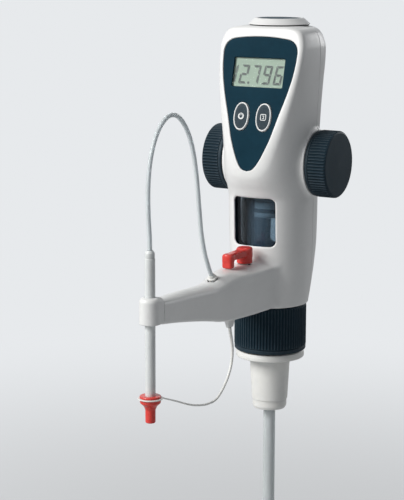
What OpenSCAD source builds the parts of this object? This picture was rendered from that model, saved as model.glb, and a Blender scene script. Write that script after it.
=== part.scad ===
// Digital burette that stands on a bottle: a handwheel-driven piston in a glass cylinder,
// with a display head, a discharge arm, a ground-joint bottle adapter and a filling tube.
// X is to the right, the display and the arm face -Y, Z is up.
// The origin is on the collar's axis, in the plane that rests on the bottle's mouth.

/* [Body] */
// Half width of the housing at the handwheel shaft
body_half_w = 30; // [29:0.5:36]
// Half depth of the housing at the handwheel shaft
body_half_d = 34; // [31:0.5:41]
// Height of the display head above the handwheel shaft
head_h = 96; // [84:1:116]
// Wall of the moulded housing shells
wall = 2.2; // [1.6:0.1:3]
// Lean of the display face from the vertical
panel_tilt = 13.9; // [8:0.1:18]

/* [Display face] */
// Height of the dark face plate, along its slope
panel_h = 94; // [80:1:98]
// Half width of the dark face plate at its widest
panel_half_w = 28.6; // [24:0.2:29]
// Width of the display window
lcd_w = 39.6; // [30:0.2:42]
// Height of the display window
lcd_h = 20.6; // [15:0.2:24]
// Half width of each oval key
key_rx = 5.9; // [4.5:0.1:7]
// Half height of each oval key
key_ry = 9.8; // [7:0.1:11]
// Travel of each key
key_travel = 1.2; // [0.6:0.1:1.6]

/* [Drive] */
// Piston stroke for the full volume
stroke = 62; // [48:1:75]
// Bore radius of the glass cylinder
bore_r = 16; // [12:0.2:16.6]
// Share of the stroke already delivered in the modelled position
delivered = 0.256; // [0.1:0.002:0.9]
// Radius of each handwheel
wheel_r = 23.7; // [18:0.1:29]
// Width of each handwheel
wheel_w = 16; // [12:0.5:20]
// Ribs round each handwheel
wheel_ribs = 66; // [40:2:72]
// Radius of the handwheel shaft
shaft_r = 3; // [2.4:0.1:3.4]

/* [Arm] */
// Distance from the collar's axis to the titrating tube
arm_reach = 166.5; // [140:0.5:200]
// Half width of the arm at its tip
arm_tip_w = 7; // [6:0.1:8.5]
// Radius of the titrating tube
tube_r = 3.4; // [2.8:0.1:4.2]
// Length of the titrating tube
tube_len = 95.8; // [80:0.2:115]
// Outer radius of the hose
hose_r = 1.5; // [1:0.1:2]

/* [Bottle end] */
// Radius of the ribbed collar
collar_r = 26; // [24.5:0.1:28]
// Ribs round the collar
collar_ribs = 72; // [48:2:90]
// Large-end diameter of the ground cone
cone_d = 29.2; // [24:0.1:34.5]
// Length of the ground cone
cone_len = 32; // [25:1:40]
// Length of the sliding filling tube
filler_len = 154; // [120:1:190]

/* [Hidden] */
$fn = 64;
eps = 0.01;
run = 0.05;          // radial clearance of a running fit
gap = 0.3;           // gap between curved faces of different bodies
seat_gap = 0.1;      // gap between parts that are pushed together

// heights of the bottle end, upwards from the bottle's mouth
flange_h = 5;
collar_z = flange_h + 1;
collar_top = 39.4;
collar_lip_z = 27.8;
base_z = 21;
body_z = collar_top + 0.6;
block_top = body_z + 14;

// piston and cylinder
glass_wall = 2.5;
glass_z = block_top + 1.5;
piston_h = 11;
piston_low = glass_z + 1.5;
glass_top = piston_low + stroke + piston_h + 0.5;
piston_z = piston_low + stroke * (1 - delivered);

// gears: each pair has the same module
shaft_y = 7.8;
shaft_z = glass_top + 11.5;
mod_wheel = 0.6;
pinion_n = 15;
gear_n = 60;
mod_rack = 0.6;
rack_pinion_n = 15;
press_angle = 25;
backlash = 0.12;
tooth_h = 0.9;       // addendum, in modules
gear_c = mod_wheel * (pinion_n + gear_n) / 2 + 0.03;
gear_z = shaft_z + gear_c;
top_z = shaft_z + max(head_h, gear_c + stroke + 9);
rack_y = shaft_y - mod_rack * rack_pinion_n / 2 - 0.02;
frame_x = 6.2;       // inner face of each side plate of the gear frame
plate_t = 2.6;
gear_x = frame_x + plate_t + 0.6;
gear_w = 4;
rod_top = gear_z + stroke * (1 - delivered) + 4.5;
countershaft_r = 2;

// valve block and the bottle end
block_r = 23.5;
neck_r = 20;
valve_r = 7;
upper_r = 3.2;
lower_r = upper_r + run + 1.05;
lower_z = -cone_len - 9;
cone_end = cone_d / 2 - cone_len / 20;
vent_z = 50;
vent_r = 4;

// wheels
wheel_x = body_half_w + 3.3;
boss_x = wheel_x - 0.6;
boss_wall = 2.2;
bush_r = 5;

// display face: the plane through this point, leaning back by panel_tilt
panel_y = -38.6;
panel_low = -2.3;
panel_t = 1.8;
panel_sink = 0.5;
lcd_v = panel_low + panel_h * 0.735;
key_v = panel_low + panel_h * 0.403;
key_u = 8.7;
key_raise = 0.7;     // height of the keys above the housing's front
key_foot = 3.3;      // depth of the keys' feet behind it
module_t = 4.8;
board_t = 1.6;
board_depth = 7.4;

// outline of the face plate: share of its height, share of its half width
shield = [[0, 0], [0.004, 0.06], [0.03, 0.19], [0.07, 0.28], [0.12, 0.36], [0.18, 0.445],
    [0.25, 0.53], [0.33, 0.605], [0.42, 0.69], [0.52, 0.79], [0.62, 0.88], [0.72, 0.95],
    [0.82, 0.99], [0.90, 1.0], [0.94, 0.975], [0.965, 0.92], [0.982, 0.80], [0.992, 0.5], [1, 0]];

// housing sections: place along the height (0 lower edge, 1 shaft, 2 top), then what is added to
// the half width, the middle's y, the front depth, the rear depth, and the squareness
sections = [
    [0.00, -3.4, 0.8, -7.0, -7.0, 2.00],
    [0.12, -2.1, 1.4, -5.7, -5.7, 2.10],
    [0.28, -1.1, 2.4, -3.2, -3.2, 2.20],
    [0.44, -0.7, 3.0, -2.2, -1.7, 2.35],
    [0.60, -0.6, 3.0, -1.7, -1.2, 2.40],
    [0.76, -0.4, 3.0, -0.7, -0.7, 2.35],
    [0.83, -0.2, 2.6, 2.0, -0.4, 2.30],
    [0.89, 0.0, 2.4, 5.3, -0.2, 2.30],
    [0.95, 0.1, 2.2, 7.5, -0.1, 2.30],
    [1.00, 0.2, 2.0, 8.2, 0.0, 2.30],
    [1.15, 0.8, 1.6, 8.3, 0.4, 2.30],
    [1.40, 2.0, 0.6, 9.0, 1.3, 2.40],
    [1.60, 3.0, 0.0, 10.0, 2.0, 2.60],
    [1.76, 3.5, 0.0, 10.0, 2.0, 2.90],
    [1.84, 3.4, 0.0, 10.0, 2.0, 3.00],
    [1.90, 2.6, 0.0, 9.0, 1.6, 2.80],
    [1.95, 0.8, 0.0, 7.0, 0.8, 2.60],
    [1.98, -1.8, 0.0, 4.0, -0.4, 2.40],
    [2.00, -5.5, 0.0, 0.0, -2.0, 2.20]];

// front and rear window
win_w = 32.4;
win_z = glass_z + 29.5;
win_h = 34.5;
rear_win_z = glass_z + 22;
rear_win_h = 25;

// rear door, cells and top cap
door_w = 13;
door_z = shaft_z + 38;
door_h = 44;
cell_r = 5.25;
cell_len = 44.5;
cell_z = shaft_z + 41.5;
cell_y = 25.8;
cap_y = 9.6;
cap_r = 21.75;

// screws that hold the two shells together: x and height
screw_places = [[23.4, body_z + 20], [24, shaft_z + 62]];
screw_head_r = 3;

// arm sections: share of the way from root to tip, half width added to the tip's,
// underside below the tip's, top above the tip's
arm_root_y = -20;
arm_tip_y = -(arm_reach - 6.5);
arm_low = 56;
arm_high = 71.5;
arm_sections = [
    [0.00, 10.0, -14.5, 3.0], [0.10, 9.6, -14.5, 3.0], [0.19, 8.4, -14.5, 3.0],
    [0.28, 6.6, -14.4, 3.1], [0.35, 5.2, -14.3, 3.0], [0.40, 4.3, -14.0, 2.2],
    [0.45, 3.4, -13.4, 0.9], [0.50, 2.7, -12.4, -0.4], [0.55, 2.2, -10.8, -1.1],
    [0.66, 1.3, -7.6, -0.7], [0.78, 0.7, -4.6, -0.1], [0.90, 0.2, -1.9, 0.1],
    [1.00, 0.0, 0.0, 0.0]];

// valve knob
knob_y = -40;
knob_z = 75.2;
knob_h = 11;
knob_reach = 23.6;
stem_r = 4;
chest_w = 8;
chest_y = -52;
chest_z = 44;
chest_top = 71;
line_z = 66.2;
tab_y = -61;
tab_z = 33;

// titrating tube, its holder and cap
holder_z = 57;
holder_h = 17.5;
tube_z = 9;
tube_top = tube_z + tube_len;
cap_z = tube_z - 17.1;
rail_w = 8;
rail_h = 5;
rail_z = 58.6;
rail_len = 80;

// hose: from the port on the arm up to the apex, and down to the titrating tube.
// Its points move with the ends they hang between.
port_at = [0, -86, 72.5];
port_lean = 33;
port_end = 2.75;
tip_shift = [0, 166.5 - arm_reach, 0];
function moved(points, first, last) = [for (i = [0:len(points) - 1])
    points[i] + first + (last - first) * i / (len(points) - 1)];
hose_up = moved([[0, -87.5, 74.8], [0, -90.3, 79.4], [0, -93.3, 84.8], [0, -96.5, 91.5],
    [0, -99.3, 99.5], [0, -101.5, 108], [0, -103, 117], [0, -104.4, 126], [0, -105.7, 135],
    [0, -107.3, 144], [0, -109.4, 153], [0, -112, 161.5], [0, -115.6, 169.8], [0, -120.4, 177],
    [0, -126.3, 183], [0, -132.6, 186.8], [0, -139, 188]], [0, 0, 0], tip_shift / 2);
hose_down = moved([[0, -139, 188], [0, -145, 187], [0, -150.8, 184], [0, -156, 179.5],
    [0, -160.4, 173.5], [0, -163.8, 166.5], [0, -166.2, 159], [0, -167.6, 151], [0, -168.3, 143],
    [0, -168.4, 135], [0, -168, 127], [0, -167.3, 119.5], [0, -166.7, 112.5], [0, -166.5, 108],
    [0, -166.5, 104.8]], tip_shift / 2, tip_shift + [0, 0, tube_top - 104.8]);

// tether: from the tab under the arm down, across and up to the ring on the closure cap
tether_r = [1.2, 0.8, 0.65, 0.45];
tether_hang = [[0, -61, 33], [0, -60.2, 29], [0, -58.8, 24.5], [0, -57.6, 19.5], [0, -57.2, 14.5],
    [0, -57.8, 9.5], [0, -59.4, 4.5], [0, -62, 0], [0, -65.4, -4.2], [0, -69.6, -8],
    [0, -74.4, -11.4], [0, -79.6, -13.8], [0, -85, -14.6]];
tether_span = moved([[0, -85, -14.6], [0, -91, -14.4], [0, -97, -13.7], [0, -103, -12.5],
    [0, -109, -11], [0, -115, -9.2], [0, -120, -7.4]], [0, 0, 0], tip_shift / 2);
tether_rise = moved([[0, -120, -7.4], [0, -126, -5.1], [0, -132, -2.7], [0, -138, -0.4],
    [0, -144, 1.8], [0, -150, 4.1], [0, -154.2, 6.1], [0, -157.4, 8.1]], tip_shift / 2, tip_shift);

// ---------- shared geometry ----------

function mix(a, b, t) = a + (b - a) * t;

// point i of n on a unit superellipse of exponent p
function oval_point(i, n, p) = let (a = 360 * i / n, c = cos(a), s = sin(a))
    [sign(c) * pow(abs(c), 2 / p), sign(s) * pow(abs(s), 2 / p)];

// closed loft through rings of equal length, each a list of 3-D points that runs
// anticlockwise when looked at against the direction of travel
module loft(rings) {
    n = len(rings[0]);
    m = len(rings);
    polyhedron(
        points = [for (r = rings) each r],
        faces = concat(
            [[for (i = [0:n - 1]) i]],
            [for (k = [0:m - 2], i = [0:n - 1]) let (j = (i + 1) % n)
                each [[k * n + i, (k + 1) * n + i, (k + 1) * n + j],
                      [k * n + i, (k + 1) * n + j, k * n + j]]],
            [[for (i = [n - 1:-1:0]) (m - 1) * n + i]]));
}

function section_z(t) = t <= 1 ? mix(body_z, shaft_z, t) : mix(shaft_z, top_z, t - 1);

// one ring of the housing, drawn in by inset, and lowered by it under the domed top
function body_ring(s, inset, n) = let (
        z = section_z(s[0]) - inset * max(0, (s[0] - 1.84) / 0.16),
        a = body_half_w + s[1] - inset,
        f = body_half_d + s[3] - inset,
        r = body_half_d + s[4] - inset)
    [for (i = [0:n - 1]) let (q = oval_point(i, n, s[5]))
        [a * q[0], s[2] + (q[1] < 0 ? f : r) * q[1], z]];

body_n = 32;

module body_loft(inset = 0, low = 0) {
    rings = [for (s = sections) body_ring(s, inset, body_n)];
    first = [for (p = rings[0]) [p[0], p[1], p[2] + low]];
    loft([for (k = [0:len(rings) - 1]) k > 0 ? rings[k] : first]);
}

// y of the housing's surface at x and height z, on the front (-1) or the rear (1)
function section_t(z) = z <= shaft_z
    ? (z - body_z) / (shaft_z - body_z)
    : 1 + (z - shaft_z) / (top_z - shaft_z);
function section_col(t, c) = lookup(t, [for (s = sections) [s[0], s[c]]]);
function surface_y(x, z, inset, side) = let (
        t = section_t(z),
        a = body_half_w + section_col(t, 1) - inset,
        d = body_half_d + section_col(t, side < 0 ? 3 : 4) - inset,
        p = section_col(t, 5))
    section_col(t, 2) + side * d * pow(max(0, 1 - pow(abs(x) / a, p)), 1 / p);

// plate that follows the housing's front or rear, from inset to inset + thick
module curved_plate(half_w, low, high, inset, thick, side, steps = 8) {
    levels = max(2, ceil((high - low) / 9));
    across = [for (i = [0:steps]) mix(-half_w, half_w, i / steps)];
    loft([for (k = [0:levels]) let (z = mix(low, high, side < 0 ? k / levels : 1 - k / levels)) concat(
        [for (i = [0:steps]) [across[i], surface_y(across[i], z, inset, side), z]],
        [for (i = [steps:-1:0]) [across[i], surface_y(across[i], z, inset + thick, side), z]])]);
}

// frame of the display face: x across, y up the slope, z outwards
module on_face() {
    translate([0, panel_y, shaft_z]) rotate([90 - panel_tilt, 0, 0]) children();
}

// everything behind a plane that lies depth behind the display face
module behind_face(depth = 0) {
    on_face() translate([-60, -180, -160 - depth]) cube([120, 400, 160]);
}

module shield_outline(grow = 0) {
    right = [for (p = shield) [panel_half_w * p[1], panel_low + panel_h * p[0]]];
    left = [for (i = [len(shield) - 2:-1:1]) [-right[i][0], right[i][1]]];
    offset(delta = grow) polygon(concat(right, left));
}

module rounded_rect(w, h, r) {
    hull() for (x = [-1, 1], y = [-1, 1]) translate([x * (w / 2 - r), y * (h / 2 - r)]) circle(r, $fn = 24);
}

module oval(rx, ry) {
    hull() for (y = [-1, 1]) translate([0, y * (ry - rx) * 0.72])
        scale([1, 1 + 0.28 * (ry - rx) / rx]) circle(rx, $fn = 32);
}

// tube or cord swept along points that lie in the plane x = 0, from radius r to radius r_end
function unit(v) = v / norm(v);
function heading(p, i) = unit(p[min(i + 1, len(p) - 1)] - p[max(i - 1, 0)]);
function refined(p) = [for (i = [0:len(p) - 1]) each i == len(p) - 1 ? [p[i]] : [p[i],
    (9 * (p[i] + p[i + 1]) - p[max(i - 1, 0)] - p[min(i + 2, len(p) - 1)]) / 16]];
module cord(points, r, first, last, sides = 8, r_end = 0) {
    end = len(points) - 1;
    loft([for (i = [0:end]) let (
            d = i == 0 ? unit(first) : i == end ? unit(last) : heading(points, i),
            side = [1, 0, 0],
            up = cross(side, d),
            q = mix(r, r_end > 0 ? r_end : r, i / end))
        [for (k = [0:sides - 1]) let (a = -360 * (k + 0.5) / sides)
            points[i] + q * cos(a) * side + q * sin(a) * up]]);
}

// turns a shape drawn along z so that its axis lies along x
module along_x() {
    rotate([90, 0, 90]) children();
}

module ring(h, r_out, r_in) {
    difference() {
        cylinder(h = h, r = r_out);
        translate([0, 0, -1]) cylinder(h = h + 2, r = r_in);
    }
}

// ---------- gears ----------

function involute(rb, a) = [rb * (cos(a) + a * PI / 180 * sin(a)), rb * (sin(a) - a * PI / 180 * cos(a))];
function spin(p, a) = [p[0] * cos(a) - p[1] * sin(a), p[0] * sin(a) + p[1] * cos(a)];

// spur gear with a tooth centred on +x, each tooth thinned by the backlash
module gear_outline(m, n) {
    r = m * n / 2;
    rb = r * cos(press_angle);
    rf = r - 1.25 * m;
    start = rf > rb ? sqrt(rf * rf / (rb * rb) - 1) * 180 / PI : 0;
    tip = sqrt(pow((r + tooth_h * m) / rb, 2) - 1) * 180 / PI;
    half = 90 / n - backlash / 2 / r * 180 / PI + tan(press_angle) * 180 / PI - press_angle;
    steps = 4;
    flank = [for (i = [0:steps]) spin(involute(rb, mix(start, tip, i / steps)), -half)];
    root = rf > rb ? [] : [spin([rf, 0], -half)];
    lower = concat(root, flank);
    tooth = concat(lower, [for (i = [len(lower) - 1:-1:0]) [lower[i][0], -lower[i][1]]]);
    polygon([for (k = [0:n - 1]) each [for (p = tooth) spin(p, 360 * k / n)]]);
}

// rack whose teeth point along +x from its pitch line, with a gap centred on y = 0
module rack_outline(m, below, above, back, tail) {
    pitch = PI * m;
    t = tan(press_angle);
    half = pitch / 4 - backlash / 4;
    lo = -floor(below / pitch);
    hi = floor(above / pitch) - 1;
    polygon(concat(
        [[-back, -tail], [-1.25 * m, -tail]],
        [for (k = [lo:hi]) let (y = pitch * (k + 0.5)) each [
            [-1.25 * m, y - half - 1.25 * m * t], [tooth_h * m, y - half + tooth_h * m * t],
            [tooth_h * m, y + half - tooth_h * m * t], [-1.25 * m, y + half + 1.25 * m * t]]],
        [[-1.25 * m, above], [-back, above]]));
}

module ribbed_outline(r, n, depth) {
    polygon([for (k = [0:n - 1], q = [[-0.34, r - depth], [-0.2, r], [0.2, r], [0.34, r - depth]])
        let (a = 360 * (k + q[0]) / n) [q[1] * cos(a), q[1] * sin(a)]]);
}

// ---------- housing ----------

module wheel_bosses() {
    for (side = [-1, 1])
        translate([side * boss_x, shaft_y, shaft_z]) rotate([0, -90 * side, 0])
            cylinder(h = 13, r1 = wheel_r - 0.9, r2 = wheel_r + 4, $fn = 48);
}

// the outer form: a squarish column that rounds off downwards, with the display face cut across it
module housing_form() {
    intersection() {
        body_loft();
        behind_face();
    }
    wheel_bosses();
}

module housing_hollow() {
    intersection() {
        body_loft(inset = wall, low = -1);
        behind_face(panel_sink + panel_t + 1.6);
    }
    translate([0, shaft_y, shaft_z]) rotate([0, 90, 0])
        cylinder(h = 2 * (boss_x - boss_wall), r = wheel_r - 3.7, center = true, $fn = 48);
}

module shaft_hole() {
    translate([0, shaft_y, shaft_z]) rotate([0, 90, 0])
        cylinder(h = 100, r = bush_r + seat_gap, center = true, $fn = 40);
}

// opening of a window, or with grow the outline of its pane
module window_cut(side, low, high, grow = 0) {
    translate([0, side * 10, (low + high) / 2]) rotate([side * -90, 0, 0])
        linear_extrude(60) rounded_rect(win_w + 2 * grow, high - low + 2 * grow, 4 + grow);
}

// pane behind a window's opening, inset from the housing's surface
module window_pane(side, low, high, inset) {
    intersection() {
        curved_plate(win_w / 2 + 4, low - 4, high + 4, inset, 1.6, side);
        window_cut(side, low, high, 2);
    }
}

// post for a housing screw, webbed to the side wall
module screw_post(side, place, low_y, high_y, r) {
    hull() {
        translate([side * place[0], low_y, place[1]]) rotate([-90, 0, 0])
            cylinder(h = high_y - low_y, r = r, $fn = 20);
        translate([side * (place[0] + 8) - 4, low_y, place[1] - 1]) cube([8, high_y - low_y, 2]);
    }
}

module screw_posts(low_y, high_y, r) {
    intersection() {
        for (side = [-1, 1], place = screw_places) screw_post(side, place, low_y, high_y, r);
        body_loft(inset = wall / 2);
    }
}

module screw_holes(low_y, high_y, r) {
    for (side = [-1, 1], place = screw_places)
        translate([side * place[0], low_y, place[1]]) rotate([-90, 0, 0])
            cylinder(h = high_y - low_y, r = r, $fn = 20);
}

module cap_hole() {
    translate([0, cap_y, top_z - 8]) cylinder(h = 20, r = 8 + seat_gap, $fn = 40);
}

module front_housing() {
    color("whitesmoke") difference() {
        intersection() {
            union() {
                difference() {
                    housing_form();
                    housing_hollow();
                }
                screw_posts(shaft_y - 14, shaft_y, 3.4);
            }
            translate([-60, -80, body_z]) cube([120, 80 + shaft_y - seat_gap / 2, 400]);
        }
        shaft_hole();
        cap_hole();
        screw_holes(shaft_y - 12, shaft_y + 1, 1.3);
        window_cut(-1, win_z, win_z + win_h);
        on_face() translate([0, 0, -panel_sink - panel_t]) linear_extrude(20) shield_outline(0.15);
        on_face() translate([0, lcd_v, -9]) linear_extrude(10) rounded_rect(lcd_w + 5, lcd_h + 5, 1);
        for (u = [-1, 1])
            on_face() translate([u * key_u, key_v, -9]) linear_extrude(10) oval(key_rx + 1.9, key_ry + 1.9);
        rotate([90, 0, 0]) linear_extrude(80) arm_outline(arm_sections[0], -gap);
    }
}

module rear_housing() {
    color("whitesmoke") difference() {
        intersection() {
            union() {
                difference() {
                    housing_form();
                    housing_hollow();
                }
                screw_posts(shaft_y, shaft_y + 30, 4.6);
            }
            translate([-60, shaft_y + seat_gap / 2, body_z]) cube([120, 80, 400]);
        }
        shaft_hole();
        cap_hole();
        screw_holes(shaft_y - 1, shaft_y + 40, 1.5);
        screw_holes(shaft_y + 9, shaft_y + 60, screw_head_r + 0.3);
        window_cut(1, rear_win_z, rear_win_z + rear_win_h);
        translate([0, 30, door_z + door_h / 2]) rotate([-90, 0, 0])
            linear_extrude(30) rounded_rect(2 * door_w, door_h, 2.5);
        for (x = [-1, 1])
            translate([x * 5, 30, door_z - 0.8]) rotate([-90, 0, 0])
                linear_extrude(30) rounded_rect(4.4, 3, 0.6);
        translate([0, 20, vent_z]) rotate([-90, 0, 0]) cylinder(h = 40, r = vent_r + gap, $fn = 40);
    }
}

module front_window() {
    color("lightsteelblue") window_pane(-1, win_z, win_z + win_h, wall + 0.45);
}

module rear_window() {
    color("lightsteelblue") window_pane(1, rear_win_z, rear_win_z + rear_win_h, wall + 0.15);
}

module battery_door() {
    color("whitesmoke") intersection() {
        curved_plate(door_w + 2, door_z - 3, door_z + door_h + 3, 0.1, 1.9, 1, 6);
        translate([0, 20, door_z + door_h / 2]) rotate([-90, 0, 0])
            linear_extrude(30) rounded_rect(2 * door_w - 0.4, door_h - 0.4, 2.3);
    }
}

module housing_screws() {
    color("silver") for (side = [-1, 1], place = screw_places)
        translate([side * place[0], 0, place[1]]) rotate([-90, 0, 0]) difference() {
            union() {
                translate([0, 0, shaft_y - 11]) cylinder(h = 20.5, r = 1.25);
                translate([0, 0, shaft_y + 9]) cylinder(h = 2.2, r = screw_head_r);
            }
            for (a = [0, 90])
                rotate([0, 0, a]) translate([-1.7, -0.35, shaft_y + 10]) cube([3.4, 0.7, 3]);
        }
}

module top_cap() {
    color("whitesmoke") translate([0, cap_y, top_z + seat_gap]) difference() {
        union() {
            cylinder(h = 5, r1 = cap_r, r2 = cap_r - 4.4);
            translate([0, 0, -4]) cylinder(h = 4, r = 8);
        }
        translate([0, 0, 3.6]) cylinder(h = 5, r = cap_r - 6.2);
        translate([0, 0, -5]) cylinder(h = 7, r = 6);
    }
}

module top_cap_inlay() {
    color("black") translate([0, cap_y, top_z + seat_gap + 3.6]) cylinder(h = 1.1, r = cap_r - 6.3);
}

// ---------- display face ----------

module face_plate() {
    color("dimgray") on_face() translate([0, 0, -panel_sink - panel_t]) linear_extrude(panel_t) difference() {
        shield_outline();
        translate([0, lcd_v]) rounded_rect(lcd_w, lcd_h, 1);
        for (u = [-1, 1]) translate([u * key_u, key_v]) oval(key_rx + gap, key_ry + gap);
    }
}

module lcd_window() {
    color("lightblue") on_face() translate([0, lcd_v, -panel_sink - 1.4])
        linear_extrude(1.2) rounded_rect(lcd_w - 0.3, lcd_h - 0.3, 0.9);
}

module lcd_module() {
    color("darkseagreen") on_face() translate([0, lcd_v, -panel_sink - panel_t - 0.1 - module_t]) union() {
        linear_extrude(module_t) square([lcd_w + 4.4, lcd_h + 4.4], center = true);
    }
}

module circuit_board() {
    color("seagreen") on_face() translate([0, 0, -board_depth - board_t]) {
        difference() {
            translate([-20, key_v - 13.6, 0]) cube([40, 60, board_t]);
            for (x = [-17.5, 17.5], v = [key_v - 11, key_v + 43.8])
                translate([x, v, -1]) cylinder(h = board_t + 2, r = 1.3);
        }
        for (u = [-1, 1])
            translate([u * key_u - 3, key_v - 3, board_t])
                cube([6, 6, board_depth - key_foot - key_travel - 0.1]);
        for (v = [key_v + 16, key_v + 31]) translate([-5, v, -1.4]) cube([10, 10, 1.4 + eps]);
        for (x = [-16, 13]) translate([x, key_v + 4, -2]) cube([3, 7, 2 + eps]);
    }
}

module key(side) {
    color("white") on_face() translate([side * key_u, key_v, 0]) difference() {
        union() {
            translate([0, 0, -key_foot]) linear_extrude(key_foot + key_raise) oval(key_rx, key_ry);
            translate([0, 0, -key_foot]) linear_extrude(0.8) oval(key_rx + 1.5, key_ry + 1.5);
        }
        translate([0, 0, key_raise - 0.3]) linear_extrude(1) oval(key_rx - 1.2, key_ry - 1.2);
    }
}

module power_key() {
    key(-1);
}

module clear_key() {
    key(1);
}

module battery_holder() {
    color("dimgray") difference() {
        translate([-13.4, cell_y - 6.6, cell_z - 2]) cube([26.8, 12, cell_len + 4]);
        for (x = [-6.5, 6.5]) {
            translate([x, cell_y, cell_z - 0.2]) cylinder(h = cell_len + 0.4, r = cell_r + 0.3);
            translate([x - cell_r - 0.3, cell_y, cell_z - 0.2]) cube([2 * cell_r + 0.6, 10, cell_len + 0.4]);
        }
    }
}

module batteries() {
    color("slategray") for (x = [-6.5, 6.5]) translate([x, cell_y, cell_z]) {
        cylinder(h = cell_len - 1.2, r = cell_r);
        translate([0, 0, cell_len - 1.3]) cylinder(h = 1.3, r = 1.9);
    }
}

// ---------- drive ----------

module gear_frame() {
    color("gainsboro") difference() {
        union() {
            translate([0, 0, glass_top]) cylinder(h = 3, r = bore_r + glass_wall + 2.5);
            translate([-body_half_w + 2.6, -4, glass_top]) cube([2 * (body_half_w - 2.6), 10, 3]);
            for (x = [-frame_x - plate_t, frame_x])
                translate([x, -6, glass_top + 1]) cube([plate_t, 24, gear_z + 10.5 - glass_top - 1]);
            translate([-frame_x - 1, -6, gear_z + 7.5]) cube([2 * frame_x + 2, 12, 3]);
        }
        translate([-3.5 - run, rack_y - 7 - run, glass_top - 1])
            cube([7 + 2 * run, 7.6 + 2 * run, 200]);
        translate([-4.5, -5, glass_top - 1]) cube([9, 10, 6]);
        translate([0, shaft_y, shaft_z]) rotate([0, 90, 0])
            cylinder(h = 40, r = bush_r + 0.05, center = true);
        translate([0, shaft_y, gear_z]) rotate([0, 90, 0])
            cylinder(h = 40, r = countershaft_r + run, center = true);
        for (x = [-22.5, 22.5]) translate([x, 1, glass_top - 1]) cylinder(h = 5, r = 1.6);
    }
}

// two bushes in the gear frame and two in the housing: start and length of each along the shaft
bush_places = [[frame_x - 1, plate_t + 1], [boss_x - boss_wall - 1.1, boss_wall + 1.3]];

module shaft_bushes() {
    color("goldenrod") for (side = [-1, 1], place = bush_places)
        translate([side * place[0], shaft_y, shaft_z]) rotate([0, side * 90, 0]) difference() {
            union() {
                cylinder(h = place[1], r = bush_r);
                cylinder(h = 0.9, r = bush_r + 1.6);
            }
            translate([0, 0, -1]) cylinder(h = 10, r = shaft_r + run);
        }
}

module handwheel() {
    translate([wheel_x, shaft_y, shaft_z]) along_x() difference() {
        union() {
            cylinder(h = 2.3, r = wheel_r - 0.2);
            translate([0, 0, 2.2]) linear_extrude(wheel_w - 3.4) ribbed_outline(wheel_r, wheel_ribs, 0.9);
            translate([0, 0, wheel_w - 1.2]) cylinder(h = 1.2, r1 = wheel_r - 0.3, r2 = wheel_r - 1.5);
        }
        difference() {
            translate([0, 0, -1]) cylinder(h = wheel_w - 1.6, r = wheel_r - 3.2);
            translate([0, 0, 0.5]) cylinder(h = wheel_w, r = 6.5);
            for (a = [0:60:300])
                rotate([0, 0, a]) translate([5, -0.8, 3]) cube([wheel_r, 1.6, wheel_w]);
        }
        translate([0, 0, -1]) cylinder(h = wheel_w - 1.2, r = shaft_r + 0.02);
    }
}

module handwheel_right() {
    color("dimgray") handwheel();
}

module handwheel_left() {
    color("dimgray") mirror([1, 0, 0]) handwheel();
}

module drive_shaft() {
    half = wheel_x + wheel_w - 2.4;
    color("silver") translate([-half, shaft_y, shaft_z]) rotate([0, 90, 0]) union() {
        translate([0, 0, 0.6]) cylinder(h = 2 * half - 1.2, r = shaft_r);
        cylinder(h = 0.6, r1 = shaft_r - 0.5, r2 = shaft_r);
        translate([0, 0, 2 * half - 0.6]) cylinder(h = 0.6, r1 = shaft_r, r2 = shaft_r - 0.5);
    }
}

module drive_pinion() {
    color("gold") translate([gear_x, shaft_y, shaft_z]) along_x() difference() {
        union() {
            rotate([0, 0, 90]) linear_extrude(gear_w) gear_outline(mod_wheel, pinion_n);
            translate([0, 0, gear_w - 1]) cylinder(h = 4, r = 3.8);
            translate([0, 0, gear_w + 0.3]) cylinder(h = 2.7, r = 5);
        }
        translate([0, 0, -1]) cylinder(h = 20, r = shaft_r + 0.02);
    }
}

module encoder_disc() {
    color("black") translate([-14, shaft_y, shaft_z]) along_x() difference() {
        union() {
            translate([0, 0, 1]) cylinder(h = 0.8, r = 8);
            cylinder(h = 3.6, r = 4.6);
        }
        translate([0, 0, -1]) cylinder(h = 20, r = shaft_r + 0.02);
        for (a = [0:18:342]) rotate([0, 0, a]) translate([5.4, -0.4, 0]) cube([2, 0.8, 3]);
    }
}

module reduction_gear() {
    color("whitesmoke") translate([gear_x, shaft_y, gear_z]) along_x() difference() {
        union() {
            rotate([0, 0, 180 / gear_n]) linear_extrude(gear_w) gear_outline(mod_wheel, gear_n);
            translate([0, 0, gear_w - eps]) cylinder(h = 2, r = 4.5);
        }
        translate([0, 0, -1]) cylinder(h = 20, r = countershaft_r + 0.02);
        for (a = [0:60:300]) rotate([0, 0, a]) translate([10.4, 0, -1]) cylinder(h = 10, r = 3.2);
    }
}

module countershaft() {
    color("silver") translate([-frame_x - plate_t - 1, shaft_y, gear_z]) rotate([0, 90, 0])
        cylinder(h = gear_x + gear_w + 3.4 + frame_x + plate_t + 1, r = countershaft_r);
}

module rack_pinion() {
    color("gold") translate([-5.4, shaft_y, gear_z]) along_x() difference() {
        rotate([0, 0, 180]) linear_extrude(10.8) gear_outline(mod_rack, rack_pinion_n);
        translate([0, 0, -1]) cylinder(h = 20, r = countershaft_r + 0.02);
    }
}

module rack_rod() {
    tail = gear_z - piston_z - piston_h + 4;
    color("silver") translate([-3.5, rack_y, gear_z]) along_x() linear_extrude(7)
        rack_outline(mod_rack, stroke * delivered + 8, rod_top - gear_z, 7, tail);
}

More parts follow.
